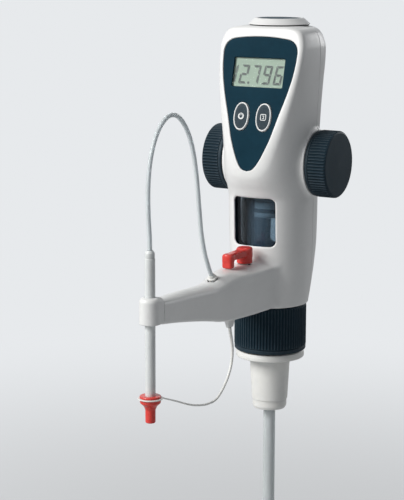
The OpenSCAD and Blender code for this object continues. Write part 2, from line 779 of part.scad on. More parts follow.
module piston() {
    color("whitesmoke") translate([0, 0, piston_z]) difference() {
        union() {
            cylinder(h = 1.5, r1 = bore_r - 1.4, r2 = bore_r - 0.1);
            translate([0, 0, 1.5]) cylinder(h = piston_h - 1.5, r = bore_r - 0.1);
        }
        translate([0, 0, 3.5]) ring(3, bore_r + 1, bore_r - 2.4);
        translate([-3.55, rack_y - 7.05, piston_h - 4]) cube([7.1, 6.35, 10]);
    }
}

module piston_seal() {
    color("dimgray") translate([0, 0, piston_z + 3.6]) ring(2.8, bore_r - 0.03, bore_r - 2.3);
}

module glass_cylinder() {
    color("lightcyan") translate([0, 0, glass_z]) ring(glass_top - glass_z, bore_r + glass_wall, bore_r);
}

module cylinder_seal() {
    color("dimgray") translate([0, 0, block_top])
        ring(glass_z - block_top, bore_r + glass_wall, bore_r - 0.5);
}

// ---------- valve and arm ----------

module valve_block() {
    color("gainsboro") difference() {
        union() {
            translate([0, 0, base_z]) cylinder(h = 6, r = neck_r + 2);
            translate([0, 0, base_z + 5]) cylinder(h = 20, r = neck_r);
            translate([0, 0, body_z + 1]) cylinder(h = block_top - body_z - 1, r = block_r);
        }
        translate([0, 0, base_z - 1]) cylinder(h = 11, r = 5.05);
        translate([0, 0, base_z]) cylinder(h = 60, r = 2);
        translate([0, 0, 49]) rotate([90, 0, 0]) cylinder(h = 60, r = 1.6);
        translate([0, 9, base_z - 1]) cylinder(h = 5, r = 1.55);
        translate([0, 0, block_top - 1]) cylinder(h = 2, r1 = bore_r - 6, r2 = bore_r - 2);
    }
}

module valve_chest() {
    color("gainsboro") difference() {
        union() {
            translate([-chest_w, chest_y, chest_z])
                cube([2 * chest_w, -chest_y - 20, chest_top - chest_z]);
            translate([0, knob_y, chest_top - 12]) cylinder(h = 12, r = chest_w + 1.6);
        }
        translate([0, 0, chest_z - 1]) cylinder(h = 60, r = block_r + seat_gap);
        translate([0, knob_y, chest_z + 2.8]) cylinder(h = 60, r = stem_r + run);
        translate([0, -20, 49]) rotate([90, 0, 0]) cylinder(h = 20, r = 1.6);
        translate([0, knob_y, line_z]) rotate([90, 0, 0]) cylinder(h = 30, r = 1.85);
    }
}

module valve_stem() {
    color("white") translate([0, knob_y, 0]) difference() {
        union() {
            translate([0, 0, chest_z + 3]) cylinder(h = chest_top - chest_z - 2.6, r = stem_r);
            translate([0, 0, chest_top]) cylinder(h = knob_z + 7 - chest_top, r = 2.6);
        }
        translate([0, 0, 49]) cylinder(h = line_z - 49, r = 1.4);
        translate([0, 0, 49]) rotate([-90, 0, 0]) cylinder(h = 10, r = 1.4);
        translate([0, 0, line_z]) rotate([90, 0, 0]) cylinder(h = 10, r = 1.4);
    }
}

module valve_knob() {
    color("crimson") translate([0, knob_y, knob_z]) difference() {
        union() {
            cylinder(h = knob_h - 1, r = 5.5);
            translate([0, 0, knob_h - 1]) cylinder(h = 1, r1 = 5.5, r2 = 4.6);
            translate([0, 0, knob_h - 6]) linear_extrude(5) hull() {
                circle(4.6);
                translate([0, -knob_reach]) circle(3.3);
            }
            linear_extrude(knob_h - 1.5) hull() for (x = [-2, 2], y = [-1.2, 0.8])
                translate([x, y - knob_reach]) circle(1.9);
        }
        translate([0, 0, -1]) cylinder(h = 8.2, r = 2.62);
    }
}

function arm_ring(s, inset) = let (
        y = mix(arm_root_y, arm_tip_y, s[0]),
        w = arm_tip_w + s[1] - inset,
        lo = arm_low + s[2] + inset,
        hi = arm_high + s[3] - inset,
        crown = 5,
        r = 1.5)
    concat(
        [[-w + r, y, lo], [w - r, y, lo], [w, y, lo + r]],
        [for (i = [0:8]) let (q = oval_point(i, 16, 2.6)) [w * q[0], y, hi - crown + crown * q[1]]],
        [[-w, y, lo + r]]);

module arm_outline(s, inset) {
    polygon([for (p = arm_ring(s, inset)) [p[0], p[2]]]);
}

module arm_loft(inset = 0, back = 0, front = 0) {
    n = len(arm_sections);
    loft([for (k = [0:n - 1]) [for (p = arm_ring(arm_sections[k], inset))
        [p[0], p[1] + (k == 0 ? back : 0) + (k == n - 1 ? front : 0), p[2]]]]);
}

module on_port() {
    translate(port_at) rotate([port_lean, 0, 0]) children();
}

module arm_housing() {
    color("whitesmoke") difference() {
        union() {
            difference() {
                arm_loft();
                arm_loft(inset = 1.8, back = 1, front = 1.8);
            }
            // webs across the arm that guide the extension rail
            intersection() {
                for (y = [-128, -98]) translate([-20, y, 30]) cube([40, 2.4, 60]);
                arm_loft(inset = 0.9);
            }
            // stiffening ribs along the walls
            intersection() {
                for (side = [-1, 1], y = [-64, -76, -110, -140]) hull() {
                    translate([side * 30 - 0.5, y, 60]) cube([1, 1.4, 4]);
                    translate([side * (arm_tip_w - 2.6 + (160 + y) * 0.048) - 0.5, y, 42]) cube([1, 1.4, 4]);
                    translate([side * 30 - 0.5, y, 34]) cube([1, 1.4, 4]);
                }
                arm_loft(inset = 0.9);
            }
            // tab for the tether
            hull() {
                translate([-1.6, tab_y - 7, 41.5]) cube([3.2, 14, 2]);
                translate([-1.6, tab_y - 3, tab_z]) cube([3.2, 6, 1]);
            }
        }
        translate([0, 0, 30]) cylinder(h = 60, r = block_r + 0.4, $fn = 48);
        translate([0, knob_y, 60]) cylinder(h = 40, r = stem_r + 0.5, $fn = 32);
        on_port() cylinder(h = 20, r = 3.6, center = true, $fn = 32);
        translate([0, arm_tip_y + 20, rail_z + rail_h / 2]) rotate([90, 0, 0])
            linear_extrude(40) rounded_rect(rail_w + 0.2, rail_h + 0.2, 0.5);
        translate([0, -90, rail_z + rail_h / 2]) rotate([90, 0, 0])
            linear_extrude(60) rounded_rect(rail_w + 0.2, rail_h + 0.2, 0.5);
    }
}

module discharge_line() {
    d = [0, -sin(port_lean), cos(port_lean)];
    end = port_at - 6 * d;
    color("white") cord([[0, knob_y - 5, line_z], [0, -58, line_z], [0, -70, line_z], [0, -76, line_z],
        [0, -79, line_z + 0.2], [0, end[1] + 1, end[2] - 0.9], end], 1.8, [0, -1, 0], d, 12);
}

module hose_port() {
    color("white") on_port() difference() {
        union() {
            translate([0, 0, -6]) cylinder(h = 7, r = 2.6);
            translate([0, 0, -1.4]) cylinder(h = 2.4, r = 3.3);
            translate([0, 0, 1]) cylinder(h = port_end - 1, r1 = 2.4, r2 = 1.9);
        }
        translate([0, 0, -7]) cylinder(h = 20, r = 0.7);
    }
}

port_dir = [0, -sin(port_lean), cos(port_lean)];

module hose_up() {
    color("whitesmoke") cord(hose_up, hose_r, port_dir, [0, -1, 0]);
}

module hose_down() {
    color("whitesmoke") cord(hose_down, hose_r, [0, -1, 0], [0, 0, -1]);
}

module extension_rail() {
    color("gainsboro") difference() {
        translate([0, arm_tip_y - 0.3, rail_z + rail_h / 2]) rotate([-90, 0, 0])
            linear_extrude(rail_len) rounded_rect(rail_w, rail_h, 0.5);
        translate([-1.5, arm_tip_y + 6, rail_z + rail_h - 0.8]) cube([3, rail_len - 12, 2]);
    }
}

module tube_holder() {
    color("whitesmoke") difference() {
        translate([0, 0, holder_z]) linear_extrude(holder_h) difference() {
            hull() {
                translate([0, -arm_reach]) circle(arm_tip_w);
                translate([-arm_tip_w, arm_tip_y - 3.3]) square([2 * arm_tip_w, 3]);
            }
            translate([-20, arm_tip_y - 0.3]) square([40, 10]);
        }
        translate([0, -arm_reach, holder_z - 1]) cylinder(h = 30, r = tube_r + run);
        // chamfer round the top
        translate([0, -arm_reach, holder_z + holder_h]) {
            intersection() {
                rotate_extrude() polygon([[arm_tip_w - 1.5, 0.5], [arm_tip_w + 2, 0.5],
                    [arm_tip_w + 2, -3.5], [arm_tip_w - 1.5, 0]]);
                translate([-20, -20, -5]) cube([40, 20, 10]);
            }
            for (side = [-1, 1]) rotate([90, 0, 180]) translate([0, 0, -0.1]) linear_extrude(12)
                polygon([[side * (arm_tip_w - 1.5), 0.5], [side * (arm_tip_w + 2), 0.5],
                    [side * (arm_tip_w + 2), -3.5], [side * (arm_tip_w - 1.5), 0]]);
        }
    }
}

module titrating_tube() {
    color("aliceblue") translate([0, -arm_reach, tube_z]) difference() {
        cylinder(h = tube_len, r = tube_r);
        translate([0, 0, -1]) cylinder(h = tube_len - 4, r = tube_r - 1.1);
        cylinder(h = tube_len + 1, r = 0.7);
    }
}

module nozzle_tip() {
    color("white") translate([0, -arm_reach, tube_z]) difference() {
        union() {
            translate([0, 0, -7]) cylinder(h = 7, r = 2.6);
            translate([0, 0, -13]) cylinder(h = 6, r1 = 1, r2 = 2.6);
            cylinder(h = 5, r = tube_r - 1.15);
        }
        translate([0, 0, -20]) cylinder(h = 40, r = 0.6);
    }
}

module closure_cap() {
    color("crimson") translate([0, -arm_reach, cap_z]) difference() {
        union() {
            cylinder(h = 0.6, r1 = 2.9, r2 = 3.3);
            translate([0, 0, 0.6]) cylinder(h = 9, r = 3.3);
            translate([0, 0, 8.9]) cylinder(h = 2.4, r1 = 3.3, r2 = 4.6);
            translate([0, 0, 11.3]) cylinder(h = 2.1, r1 = 4.6, r2 = 6.8);
            translate([0, 0, 13.4]) cylinder(h = 2.3, r = 6.9);
            translate([0, 0, 15.7]) cylinder(h = 1, r = 6.4);
            translate([0, 0, 16.7]) cylinder(h = 1.3, r = 6.9);
        }
        translate([0, 0, 3.6]) cylinder(h = 30, r = 2.65);
        translate([0, 0, tube_z - cap_z - 0.1]) cylinder(h = 30, r = tube_r + 0.1);
    }
}

module tether_ring() {
    color("white") translate([0, -arm_reach, cap_z + 15.8]) difference() {
        union() {
            cylinder(h = 0.8, r = 8.2);
            translate([-0.8, 7, 0]) cube([1.6, 2.1, 0.8]);
        }
        translate([0, 0, -1]) cylinder(h = 4, r = 6.5);
    }
}

module tether_hang() {
    color("whitesmoke")
        cord(refined(tether_hang), tether_r[0], [0, 0, -1], [0, -1, 0], 8, tether_r[1]);
}

module tether_span() {
    color("whitesmoke")
        cord(refined(tether_span), tether_r[1], [0, -1, 0], [0, -14, 5], 8, tether_r[2]);
}

module tether_rise() {
    color("whitesmoke")
        cord(refined(tether_rise), tether_r[2], [0, -14, 5], [0, -1, 0], 8, tether_r[3]);
}

// ---------- bottle end ----------

module collar() {
    color("dimgray") difference() {
        union() {
            translate([0, 0, collar_z]) cylinder(h = 3.1, r = collar_r - 0.15);
            translate([0, 0, collar_z + 3]) linear_extrude(collar_top - collar_z - 4)
                ribbed_outline(collar_r, collar_ribs, 0.8);
            translate([0, 0, collar_top - 1.2]) cylinder(h = 1.2, r1 = collar_r - 0.3, r2 = collar_r - 1.4);
        }
        translate([0, 0, collar_z - 1]) cylinder(h = collar_lip_z - collar_z + 1, r = neck_r + 2.7);
        translate([0, 0, collar_z]) cylinder(h = 60, r = neck_r + 0.08);
    }
}

module neck_seal() {
    color("dimgray") translate([0, 0, base_z - 1]) ring(1, neck_r, 12);
}

module bottle_adapter() {
    color("whitesmoke") difference() {
        union() {
            cylinder(h = flange_h, r1 = 24.8, r2 = 24);
            translate([0, 0, flange_h - eps]) cylinder(h = base_z - 1 - flange_h + eps, r = 21.3);
            for (k = [0:2]) translate([0, 0, flange_h + 4 + 3.4 * k]) {
                cylinder(h = 1, r1 = 21.3, r2 = 22.3);
                translate([0, 0, 1]) cylinder(h = 0.8, r = 22.3);
                translate([0, 0, 1.8]) cylinder(h = 1, r1 = 22.3, r2 = 21.3);
            }
            translate([0, 0, -cone_len]) cylinder(h = cone_len + 1, r1 = cone_end, r2 = cone_d / 2 + 0.05);
            translate([0, 0, -cone_len - 5]) cylinder(h = 5.1, r = cone_end - 0.6);
            translate([0, 0, -cone_len - 7]) cylinder(h = 2, r1 = cone_end - 1.6, r2 = cone_end - 0.6);
        }
        translate([0, 0, -100]) cylinder(h = 200, r = 10.7);
    }
}

module filling_valve() {
    color("white") difference() {
        union() {
            translate([0, 0, base_z - 0.5]) cylinder(h = 9, r = 5);
            translate([0, 0, base_z - 12]) cylinder(h = 12, r = valve_r);
            translate([0, 0, base_z - 14]) cylinder(h = 2, r1 = 4, r2 = valve_r);
            translate([0, 0, base_z - 22]) cylinder(h = 9, r = 2.6);
        }
        translate([0, 0, base_z - 23]) cylinder(h = 40, r = 1.5);
    }
}

module upper_filling_tube() {
    color("white") translate([0, 0, -185]) ring(base_z - 14.1 + 185, upper_r, upper_r - 0.55);
}

module lower_filling_tube() {
    color("white") translate([0, 0, lower_z - filler_len]) difference() {
        cylinder(h = filler_len, r = lower_r);
        translate([0, 0, 6]) cylinder(h = filler_len, r = upper_r + run);
        translate([0, 0, -1]) cylinder(h = 10, r = lower_r - 2);
        translate([0, -10, -4]) rotate([30, 0, 0]) cube([20, 20, 8], center = true);
    }
}

module recirculation_tube() {
    color("white") translate([0, 9, -30]) ring(base_z + 3.8 + 30, 1.5, 0.9);
}

module vent_plug() {
    color("gainsboro") translate([0, 0, vent_z]) rotate([-90, 0, 0]) union() {
        translate([0, 0, block_r + 0.15]) cylinder(h = 8, r = vent_r);
        translate([0, 0, block_r + 7.6]) cylinder(h = 1.4, r = vent_r + 1.2);
        translate([0, 0, block_r + 9]) cylinder(h = 0.8, r1 = vent_r + 1.2, r2 = vent_r + 0.4);
    }
}

front_housing();
rear_housing();
face_plate();
lcd_window();
lcd_module();
circuit_board();
battery_holder();
batteries();
battery_door();
front_window();
rear_window();
top_cap();
top_cap_inlay();
housing_screws();
gear_frame();
shaft_bushes();
handwheel_left();
handwheel_right();
drive_shaft();
drive_pinion();
encoder_disc();
reduction_gear();
countershaft();
rack_pinion();
rack_rod();
piston();
piston_seal();
glass_cylinder();
cylinder_seal();
valve_block();
valve_chest();
valve_stem();
valve_knob();
power_key();
clear_key();
arm_housing();
discharge_line();
hose_port();
hose_up();
extension_rail();
tube_holder();
titrating_tube();
nozzle_tip();
hose_down();
closure_cap();
tether_ring();
tether_hang();
tether_span();
tether_rise();
collar();
neck_seal();
bottle_adapter();
filling_valve();
upper_filling_tube();
lower_filling_tube();
recirculation_tube();
vent_plug();
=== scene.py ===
import math

import bpy
import numpy as np
from mathutils import Matrix, Vector


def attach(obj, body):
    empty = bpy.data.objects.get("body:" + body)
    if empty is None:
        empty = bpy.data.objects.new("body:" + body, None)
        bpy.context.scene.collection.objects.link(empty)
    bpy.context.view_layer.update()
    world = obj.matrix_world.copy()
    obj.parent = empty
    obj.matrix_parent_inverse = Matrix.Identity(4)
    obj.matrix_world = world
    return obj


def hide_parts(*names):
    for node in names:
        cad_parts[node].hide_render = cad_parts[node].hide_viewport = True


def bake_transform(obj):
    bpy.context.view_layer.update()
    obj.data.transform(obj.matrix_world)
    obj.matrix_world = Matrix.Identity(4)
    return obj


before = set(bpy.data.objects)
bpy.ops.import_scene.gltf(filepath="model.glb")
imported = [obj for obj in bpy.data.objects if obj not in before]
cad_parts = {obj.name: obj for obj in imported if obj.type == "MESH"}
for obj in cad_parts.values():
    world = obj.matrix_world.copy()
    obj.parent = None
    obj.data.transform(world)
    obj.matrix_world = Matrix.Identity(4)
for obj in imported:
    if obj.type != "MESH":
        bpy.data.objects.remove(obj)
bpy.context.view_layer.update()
MM = 0.001
pi, cos, sin = math.pi, math.cos, math.sin

# ---------------------------------------------------------------- sizes, in millimetres, as in the CAD
SHAFT_Y, SHAFT_Z = 7.8, 142.0
BODY_Z, TOP_Z = 40.0, 238.0
HALF_W, HALF_D, WALL = 30.0, 34.0, 2.2
PANEL_Y, TILT = -38.6, math.radians(13.9)
WHEEL_R, WHEEL_X, BOSS_X, RIBS = 23.7, 33.3, 32.7, 66
TUBE_Y, TUBE_Z, TUBE_LEN, TUBE_R = -166.5, 9.0, 95.8, 3.4
TIP_Y, TIP_W = -160.0, 7.0
KNOB_Y, KNOB_Z = -40.0, 75.2
CAP_Z = TUBE_Z - 17.1

# ---------------------------------------------------------------- camera and cords come first

camera = bpy.data.objects.new("camera", bpy.data.cameras.new("camera"))
bpy.context.scene.collection.objects.link(camera)
camera.data.sensor_fit = "VERTICAL"
camera.data.sensor_height = 36.0
camera.data.lens = 119.996
camera.data.clip_start, camera.data.clip_end = 0.05, 60.0
RIGHT, UP, AHEAD = (0.86800, 0.49656, 0.00185), (-0.09517, 0.16271, 0.98207), (-0.48735, 0.85262, -0.18849)
camera.matrix_world = Matrix([
    (RIGHT[0], UP[0], -AHEAD[0], 0.541727),
    (RIGHT[1], UP[1], -AHEAD[1], -1.047776),
    (RIGHT[2], UP[2], -AHEAD[2], 0.303596),
    (0, 0, 0, 1)])
bpy.context.scene.camera = camera

# routes in the plane x = 0, as (y, z): the same points as in the CAD source
HOSE_UP = [(-87.5, 74.8), (-90.3, 79.4), (-93.3, 84.8), (-96.5, 91.5), (-99.3, 99.5), (-101.5, 108),
           (-103, 117), (-104.4, 126), (-105.7, 135), (-107.3, 144), (-109.4, 153), (-112, 161.5),
           (-115.6, 169.8), (-120.4, 177), (-126.3, 183), (-132.6, 186.8), (-139, 188)]
HOSE_DOWN = [(-139, 188), (-145, 187), (-150.8, 184), (-156, 179.5), (-160.4, 173.5), (-163.8, 166.5),
             (-166.2, 159), (-167.6, 151), (-168.3, 143), (-168.4, 135), (-168, 127), (-167.3, 119.5),
             (-166.7, 112.5), (-166.5, 108), (-166.5, 104.8)]
TETHER_HANG = [(-61, 33), (-60.2, 29), (-58.8, 24.5), (-57.6, 19.5), (-57.2, 14.5), (-57.8, 9.5),
               (-59.4, 4.5), (-62, 0), (-65.4, -4.2), (-69.6, -8), (-74.4, -11.4), (-79.6, -13.8),
               (-85, -14.6)]
TETHER_SPAN = [(-85, -14.6), (-91, -14.4), (-97, -13.7), (-103, -12.5), (-109, -11), (-115, -9.2),
               (-120, -7.4)]
TETHER_RISE = [(-120, -7.4), (-126, -5.1), (-132, -2.7), (-138, -0.4), (-144, 1.8), (-150, 4.1),
               (-154.2, 6.1), (-157.4, 8.1)]


def route(points, before, after, per=5):
    """A smooth line through points in the plane x = 0; before and after are the neighbours past its ends."""
    p = np.array([before] + points + [after], float)
    out = []
    for i in range(1, len(p) - 2):
        for t in np.arange(per) / per:
            out.append(0.5 * (2 * p[i] + (p[i + 1] - p[i - 1]) * t
                              + (2 * p[i - 1] - 5 * p[i] + 4 * p[i + 1] - p[i + 2]) * t * t
                              + (3 * p[i] - p[i - 1] - 3 * p[i + 1] + p[i + 2]) * t ** 3))
    yz = np.array(out + [p[-2]])
    return np.column_stack([np.zeros(len(yz)), yz])


# ---------------------------------------------------------------- materials


class Tree:
    """The shader nodes of one material or of the world."""

    def __init__(self, owner):
        owner.use_nodes = True
        self.nodes, self.links = owner.node_tree.nodes, owner.node_tree.links

    def put(self, socket, value):
        """Give a socket its number or colour, or the other socket that feeds it."""
        if isinstance(value, bpy.types.NodeSocket):
            self.links.new(value, socket)
        elif socket.type == "RGBA":
            socket.default_value = (*value, 1.0)
        else:
            socket.default_value = value

    def add(self, kind, inputs=(), **settings):
        """A node; inputs maps its sockets' names or numbers to what they get."""
        node = self.nodes.new("ShaderNode" + kind)
        for key, value in settings.items():
            setattr(node, key, value)
        for key, value in dict(inputs).items():
            self.put(node.inputs[key], value)
        return node

    def maths(self, kind, a, b=0.0, clamp=False):
        return self.add("Math", {0: a, 1: b}, operation=kind, use_clamp=clamp).outputs[0]

    def mixed(self, factor, a, b):
        return self.add("Mix", {0: factor, 6: a, 7: b}, data_type="RGBA").outputs[2]

    def shaders(self, factor, a, b):
        return self.add("MixShader", {0: factor, 1: a, 2: b}).outputs[0]

    def rays(self, *kinds):
        """1 for rays of any of these kinds, else 0."""
        path = self.add("LightPath")
        seen = path.outputs["Is %s Ray" % kinds[0]]
        for kind in kinds[1:]:
            seen = self.maths("MAXIMUM", seen, path.outputs["Is %s Ray" % kind])
        return seen

    def show(self, surface, output="Material Output"):
        self.put(self.nodes[output].inputs["Surface"], surface)


def material(name, colour, rough=0.4, tone=0.05, bump=0.05, bump_scale=2600.0, edge_highlight_and_wear=0.12, hollow_shade_and_dirt=0.25, metallic=0.0,
             transmission=0.0, ior=1.46, coat=0.0, streak=None, speck=None, subsurface=0.0, shine=0.5):
    """A moulded, turned or printed surface: two scales of tone, a fine grain, edges lightened by painted
    highlight and some wear, and hollows darkened by painted shade and some dirt.
    """
    m = bpy.data.materials.new(name)
    tree = Tree(m)
    maths, mixed = tree.maths, tree.mixed
    place = tree.add("TexCoord").outputs["Object"]

    def noise(scale, detail=3.0, vector=place):
        return tree.add("TexNoise", {"Vector": vector, "Scale": scale, "Detail": detail,
                                     "Roughness": 0.55}).outputs["Fac"]

    c = np.array(colour, float)
    if streak:
        fine = noise(900.0, 3.0, tree.add("Mapping", {"Vector": place, "Scale": streak}).outputs[0])
    else:
        fine = noise(bump_scale, 2.0)
    broad, middle = noise(34.0, 2.0), noise(260.0, 4.0)
    blend = maths("ADD", maths("MULTIPLY", broad, 0.6), maths("MULTIPLY", middle, 0.4))
    spread = maths("MULTIPLY", maths("SUBTRACT", blend, 0.36), 3.4, clamp=True)
    shade = mixed(spread, c * (1 - tone), np.minimum(c * (1 + tone * 0.7) + tone * 0.02, 1.0))
    if speck:
        speck_colour, scale, size = speck
        dots = tree.add("TexVoronoi", {"Vector": place, "Scale": scale}).outputs["Distance"]
        shade = mixed(maths("LESS_THAN", dots, size), shade, speck_colour)
    edge = tree.add("Attribute", attribute_name="edge").outputs["Fac"]
    patchy = maths("MULTIPLY", noise(520.0, 3.0), 1.6, clamp=True)
    convex = maths("MULTIPLY", maths("MAXIMUM", edge, 0.0), patchy)
    hollow = maths("MULTIPLY", maths("MAXIMUM", maths("MULTIPLY", edge, -1.0), 0.0), patchy)
    # Convex edges and rib crests lightened: painted highlight, partly wear.
    shade = mixed(maths("MULTIPLY", convex, edge_highlight_and_wear), shade, np.minimum(c * 1.15 + 0.06, 0.92))
    # Hollows darkened: painted shade, partly dirt.
    shade = mixed(maths("MULTIPLY", hollow, hollow_shade_and_dirt), shade, c * 0.42)
    uneven = maths("MULTIPLY", maths("SUBTRACT", maths("ADD", middle, maths("MULTIPLY", fine, 0.5)), 0.75), 0.16)
    handled = maths("MULTIPLY", convex, -0.10)
    height = maths("ADD", fine, maths("MULTIPLY", noise(90.0, 2.0), 1.5))
    raised = tree.add("Bump", {"Strength": min(1.0, bump * 4), "Distance": 0.00006, "Height": height})
    values = {"Base Color": shade, "Roughness": maths("ADD", maths("ADD", uneven, rough), handled, clamp=True),
              "Normal": raised.outputs[0], "Metallic": metallic, "Specular IOR Level": shine, "IOR": ior,
              "Transmission Weight": transmission, "Coat Weight": coat, "Coat Roughness": 0.12}
    if subsurface:
        values.update({"Subsurface Weight": subsurface, "Subsurface Radius": (0.0030, 0.0027, 0.0024),
                       "Subsurface Scale": 1.0})
    for key, value in values.items():
        tree.put(tree.nodes["Principled BSDF"].inputs[key], value)
    return m


def clear(name, tint, edge_tint, gloss, bending, painted_backdrop_share=0.0):
    """Clear glass or plastic seen straight through, darker and shinier where it turns away, with a share of pale
    blue diffuse that is painted light for the backdrop seen through it.
    """
    m = bpy.data.materials.new(name)
    tree = Tree(m)
    tree.nodes.remove(tree.nodes["Principled BSDF"])
    place = tree.add("TexCoord").outputs["Object"]
    marks = tree.add("TexNoise", {"Vector": place, "Scale": 160.0, "Detail": 5.0}).outputs["Fac"]
    turn = tree.add("LayerWeight", {"Blend": 0.32}).outputs["Facing"]
    through = tree.add("BsdfTransparent", {"Color": tree.mixed(turn, tint, edge_tint)}).outputs[0]
    # Pale blue diffuse: painted light standing in for the backdrop seen through the glass.
    painted_backdrop_light = tree.add("BsdfDiffuse", {"Color": (0.42, 0.58, 0.72)}).outputs[0]
    rough = tree.maths("ADD", tree.maths("MULTIPLY", marks, 0.04), gloss)
    mirror = tree.add("BsdfGlossy", {"Color": (0.95, 0.97, 1.0), "Roughness": rough}).outputs[0]
    slant = tree.add("Fresnel", {"IOR": bending}).outputs[0]
    tree.show(tree.shaders(slant, tree.shaders(painted_backdrop_share, through, painted_backdrop_light), mirror))
    return m


WHITE = material("white_shell", (0.80, 0.805, 0.80), 0.36, tone=0.025, bump=0.06, bump_scale=3200, hollow_shade_and_dirt=0.35)
# Near-black painted shade for the shells' inside faces, which little light reaches.
INSIDE_SHADE = material("shell_inside_shade", (0.030, 0.040, 0.048), 0.62, tone=0.2, bump=0.1)
GRIP = material("dark_grip", (0.005, 0.021, 0.034), 0.50, tone=0.14, bump=0.16, bump_scale=2400, edge_highlight_and_wear=0.6,
                shine=0.13)
FACE = material("dark_face", (0.004, 0.030, 0.050), 0.46, tone=0.12, bump=0.10, bump_scale=3600, edge_highlight_and_wear=0.2,
                shine=0.03)
RED = material("red_plastic", (0.72, 0.045, 0.034), 0.30, tone=0.07, bump=0.05, edge_highlight_and_wear=0.18, coat=0.15)
PRINT = {"bump": 0.02, "edge_highlight_and_wear": 0, "hollow_shade_and_dirt": 0}
SCREEN = material("display_grey", (0.47, 0.55, 0.46), 0.55, tone=0.05, **PRINT)
INK = material("display_ink", (0.012, 0.018, 0.020), 0.4, tone=0.3, **PRINT)
SHADE = material("display_shade", (0.27, 0.33, 0.28), 0.6, tone=0.1, **PRINT)
MARK = material("key_mark", (0.78, 0.80, 0.80), 0.45, tone=0.06, bump=0.05, edge_highlight_and_wear=0, hollow_shade_and_dirt=0)
KEYTOP = material("key_inlay", (0.014, 0.032, 0.046), 0.60, tone=0.2, bump=0.24, bump_scale=1500, edge_highlight_and_wear=0.1,
                  speck=((0.09, 0.11, 0.12), 1500.0, 0.22), shine=0.25)
PTFE = material("ptfe", (0.80, 0.80, 0.775), 0.42, tone=0.04, bump=0.05, subsurface=0.1)
TUBE = material("titrating_tube", (0.72, 0.745, 0.745), 0.34, tone=0.05, bump=0.04, subsurface=0.1)
HOSE = material("clear_tube", (0.84, 0.89, 0.91), 0.20, transmission=0.35, ior=1.35, **PRINT)
FEP = material("filling_tube", (0.80, 0.84, 0.85), 0.24, tone=0.04, transmission=0.45, ior=1.35, **PRINT)
GREY = material("frame_grey", (0.30, 0.31, 0.32), 0.5, tone=0.08, bump=0.1)
STEEL = material("steel", (0.60, 0.61, 0.62), 0.26, tone=0.08, metallic=1.0, bump=0.1, streak=(0.06, 1, 1))
BRASS = material("brass", (0.72, 0.52, 0.24), 0.30, tone=0.1, metallic=1.0, bump=0.1)
RUBBER = material("seal_rubber", (0.030, 0.030, 0.031), 0.6, tone=0.2, bump=0.15)
BOARD = material("board_green", (0.02, 0.13, 0.06), 0.4, tone=0.15, bump=0.1,
                 speck=((0.45, 0.42, 0.30), 700, 0.16))
CELL = material("cell_sleeve", (0.10, 0.13, 0.17), 0.3, tone=0.15, coat=0.3)
PANE = clear("clear_pane", (0.80, 0.85, 0.88), (0.35, 0.42, 0.48), 0.03, 1.25)
DISPLAY_PANE = clear("display_pane", (0.93, 0.95, 0.94), (0.6, 0.66, 0.66), 0.05, 1.06)
GLASS = clear("borosilicate", (0.93, 0.96, 0.98), (0.55, 0.66, 0.74), 0.03, 1.3, 0.16)

NODE_MATERIAL = {
    "circuit_board": BOARD, "battery_holder": GRIP, "batteries": CELL,
    "gear_frame": GREY, "shaft_bushes": BRASS, "drive_shaft": STEEL, "drive_pinion": BRASS,
    "encoder_disc": GRIP, "reduction_gear": PTFE, "countershaft": STEEL, "rack_pinion": BRASS,
    "rack_rod": STEEL, "cylinder_seal": RUBBER, "valve_block": GREY, "valve_chest": GREY,
    "valve_stem": PTFE, "discharge_line": FEP, "extension_rail": WHITE, "neck_seal": RUBBER,
}


# ---------------------------------------------------------------- meshes


def raw_mesh(name, points, corners, totals):
    """A mesh from points, the faces' corners in one row, and each face's number of corners."""
    mesh = bpy.data.meshes.new(name)
    mesh.vertices.add(len(points))
    mesh.vertices.foreach_set("co", points.astype(np.float32).ravel())
    mesh.loops.add(len(corners))
    mesh.loops.foreach_set("vertex_index", corners.astype(np.int32))
    mesh.polygons.add(len(totals))
    mesh.polygons.foreach_set("loop_start", (np.cumsum(totals) - totals).astype(np.int32))
    return mesh


def read(items, name, width=1, kind=np.float32):
    """What each of a mesh's items holds under a name, as an array."""
    out = np.zeros(len(items) * width, kind)
    items.foreach_get(name, out)
    return out.reshape(-1, width) if width > 1 else out


def edge_values(mesh, points, reach=0.7):
    """From -1 in hollows to 1 on edges, from how the surface turns at each point."""
    n = len(points)
    a, b = read(mesh.edges, "vertices", 2, np.int32).T
    normals = read(mesh.vertices, "normal", 3).astype(float)
    along = points[b] - points[a]
    turn = ((normals[b] - normals[a]) * along).sum(1) / np.maximum((along ** 2).sum(1), 1e-4)
    count = np.maximum(np.bincount(a, minlength=n) + np.bincount(b, minlength=n), 1)

    def gathered(at_a, at_b):
        return (np.bincount(a, at_a, n) + np.bincount(b, at_b, n)) / count

    value = gathered(turn, turn)
    for _ in range(2):
        value = 0.5 * value + 0.5 * gathered(value[b], value[a])
    return np.clip(value * reach, -1, 1)


def leaning_normals(mesh):
    """Each vertex's normal, weighted by the area of its faces, so that flats stay flat beside small rounds."""
    areas = np.maximum(read(mesh.polygons, "area"), 1e-14).astype(float)
    weighted = read(mesh.polygons, "normal", 3) * (areas ** 1.5)[:, None]
    each = np.repeat(weighted, read(mesh.polygons, "loop_total", kind=np.int32), axis=0)
    corners = read(mesh.loops, "vertex_index", kind=np.int32)
    out = np.stack([np.bincount(corners, each[:, k], len(mesh.vertices)) for k in range(3)], 1)
    return out / np.maximum(np.linalg.norm(out, axis=1), 1e-30)[:, None]


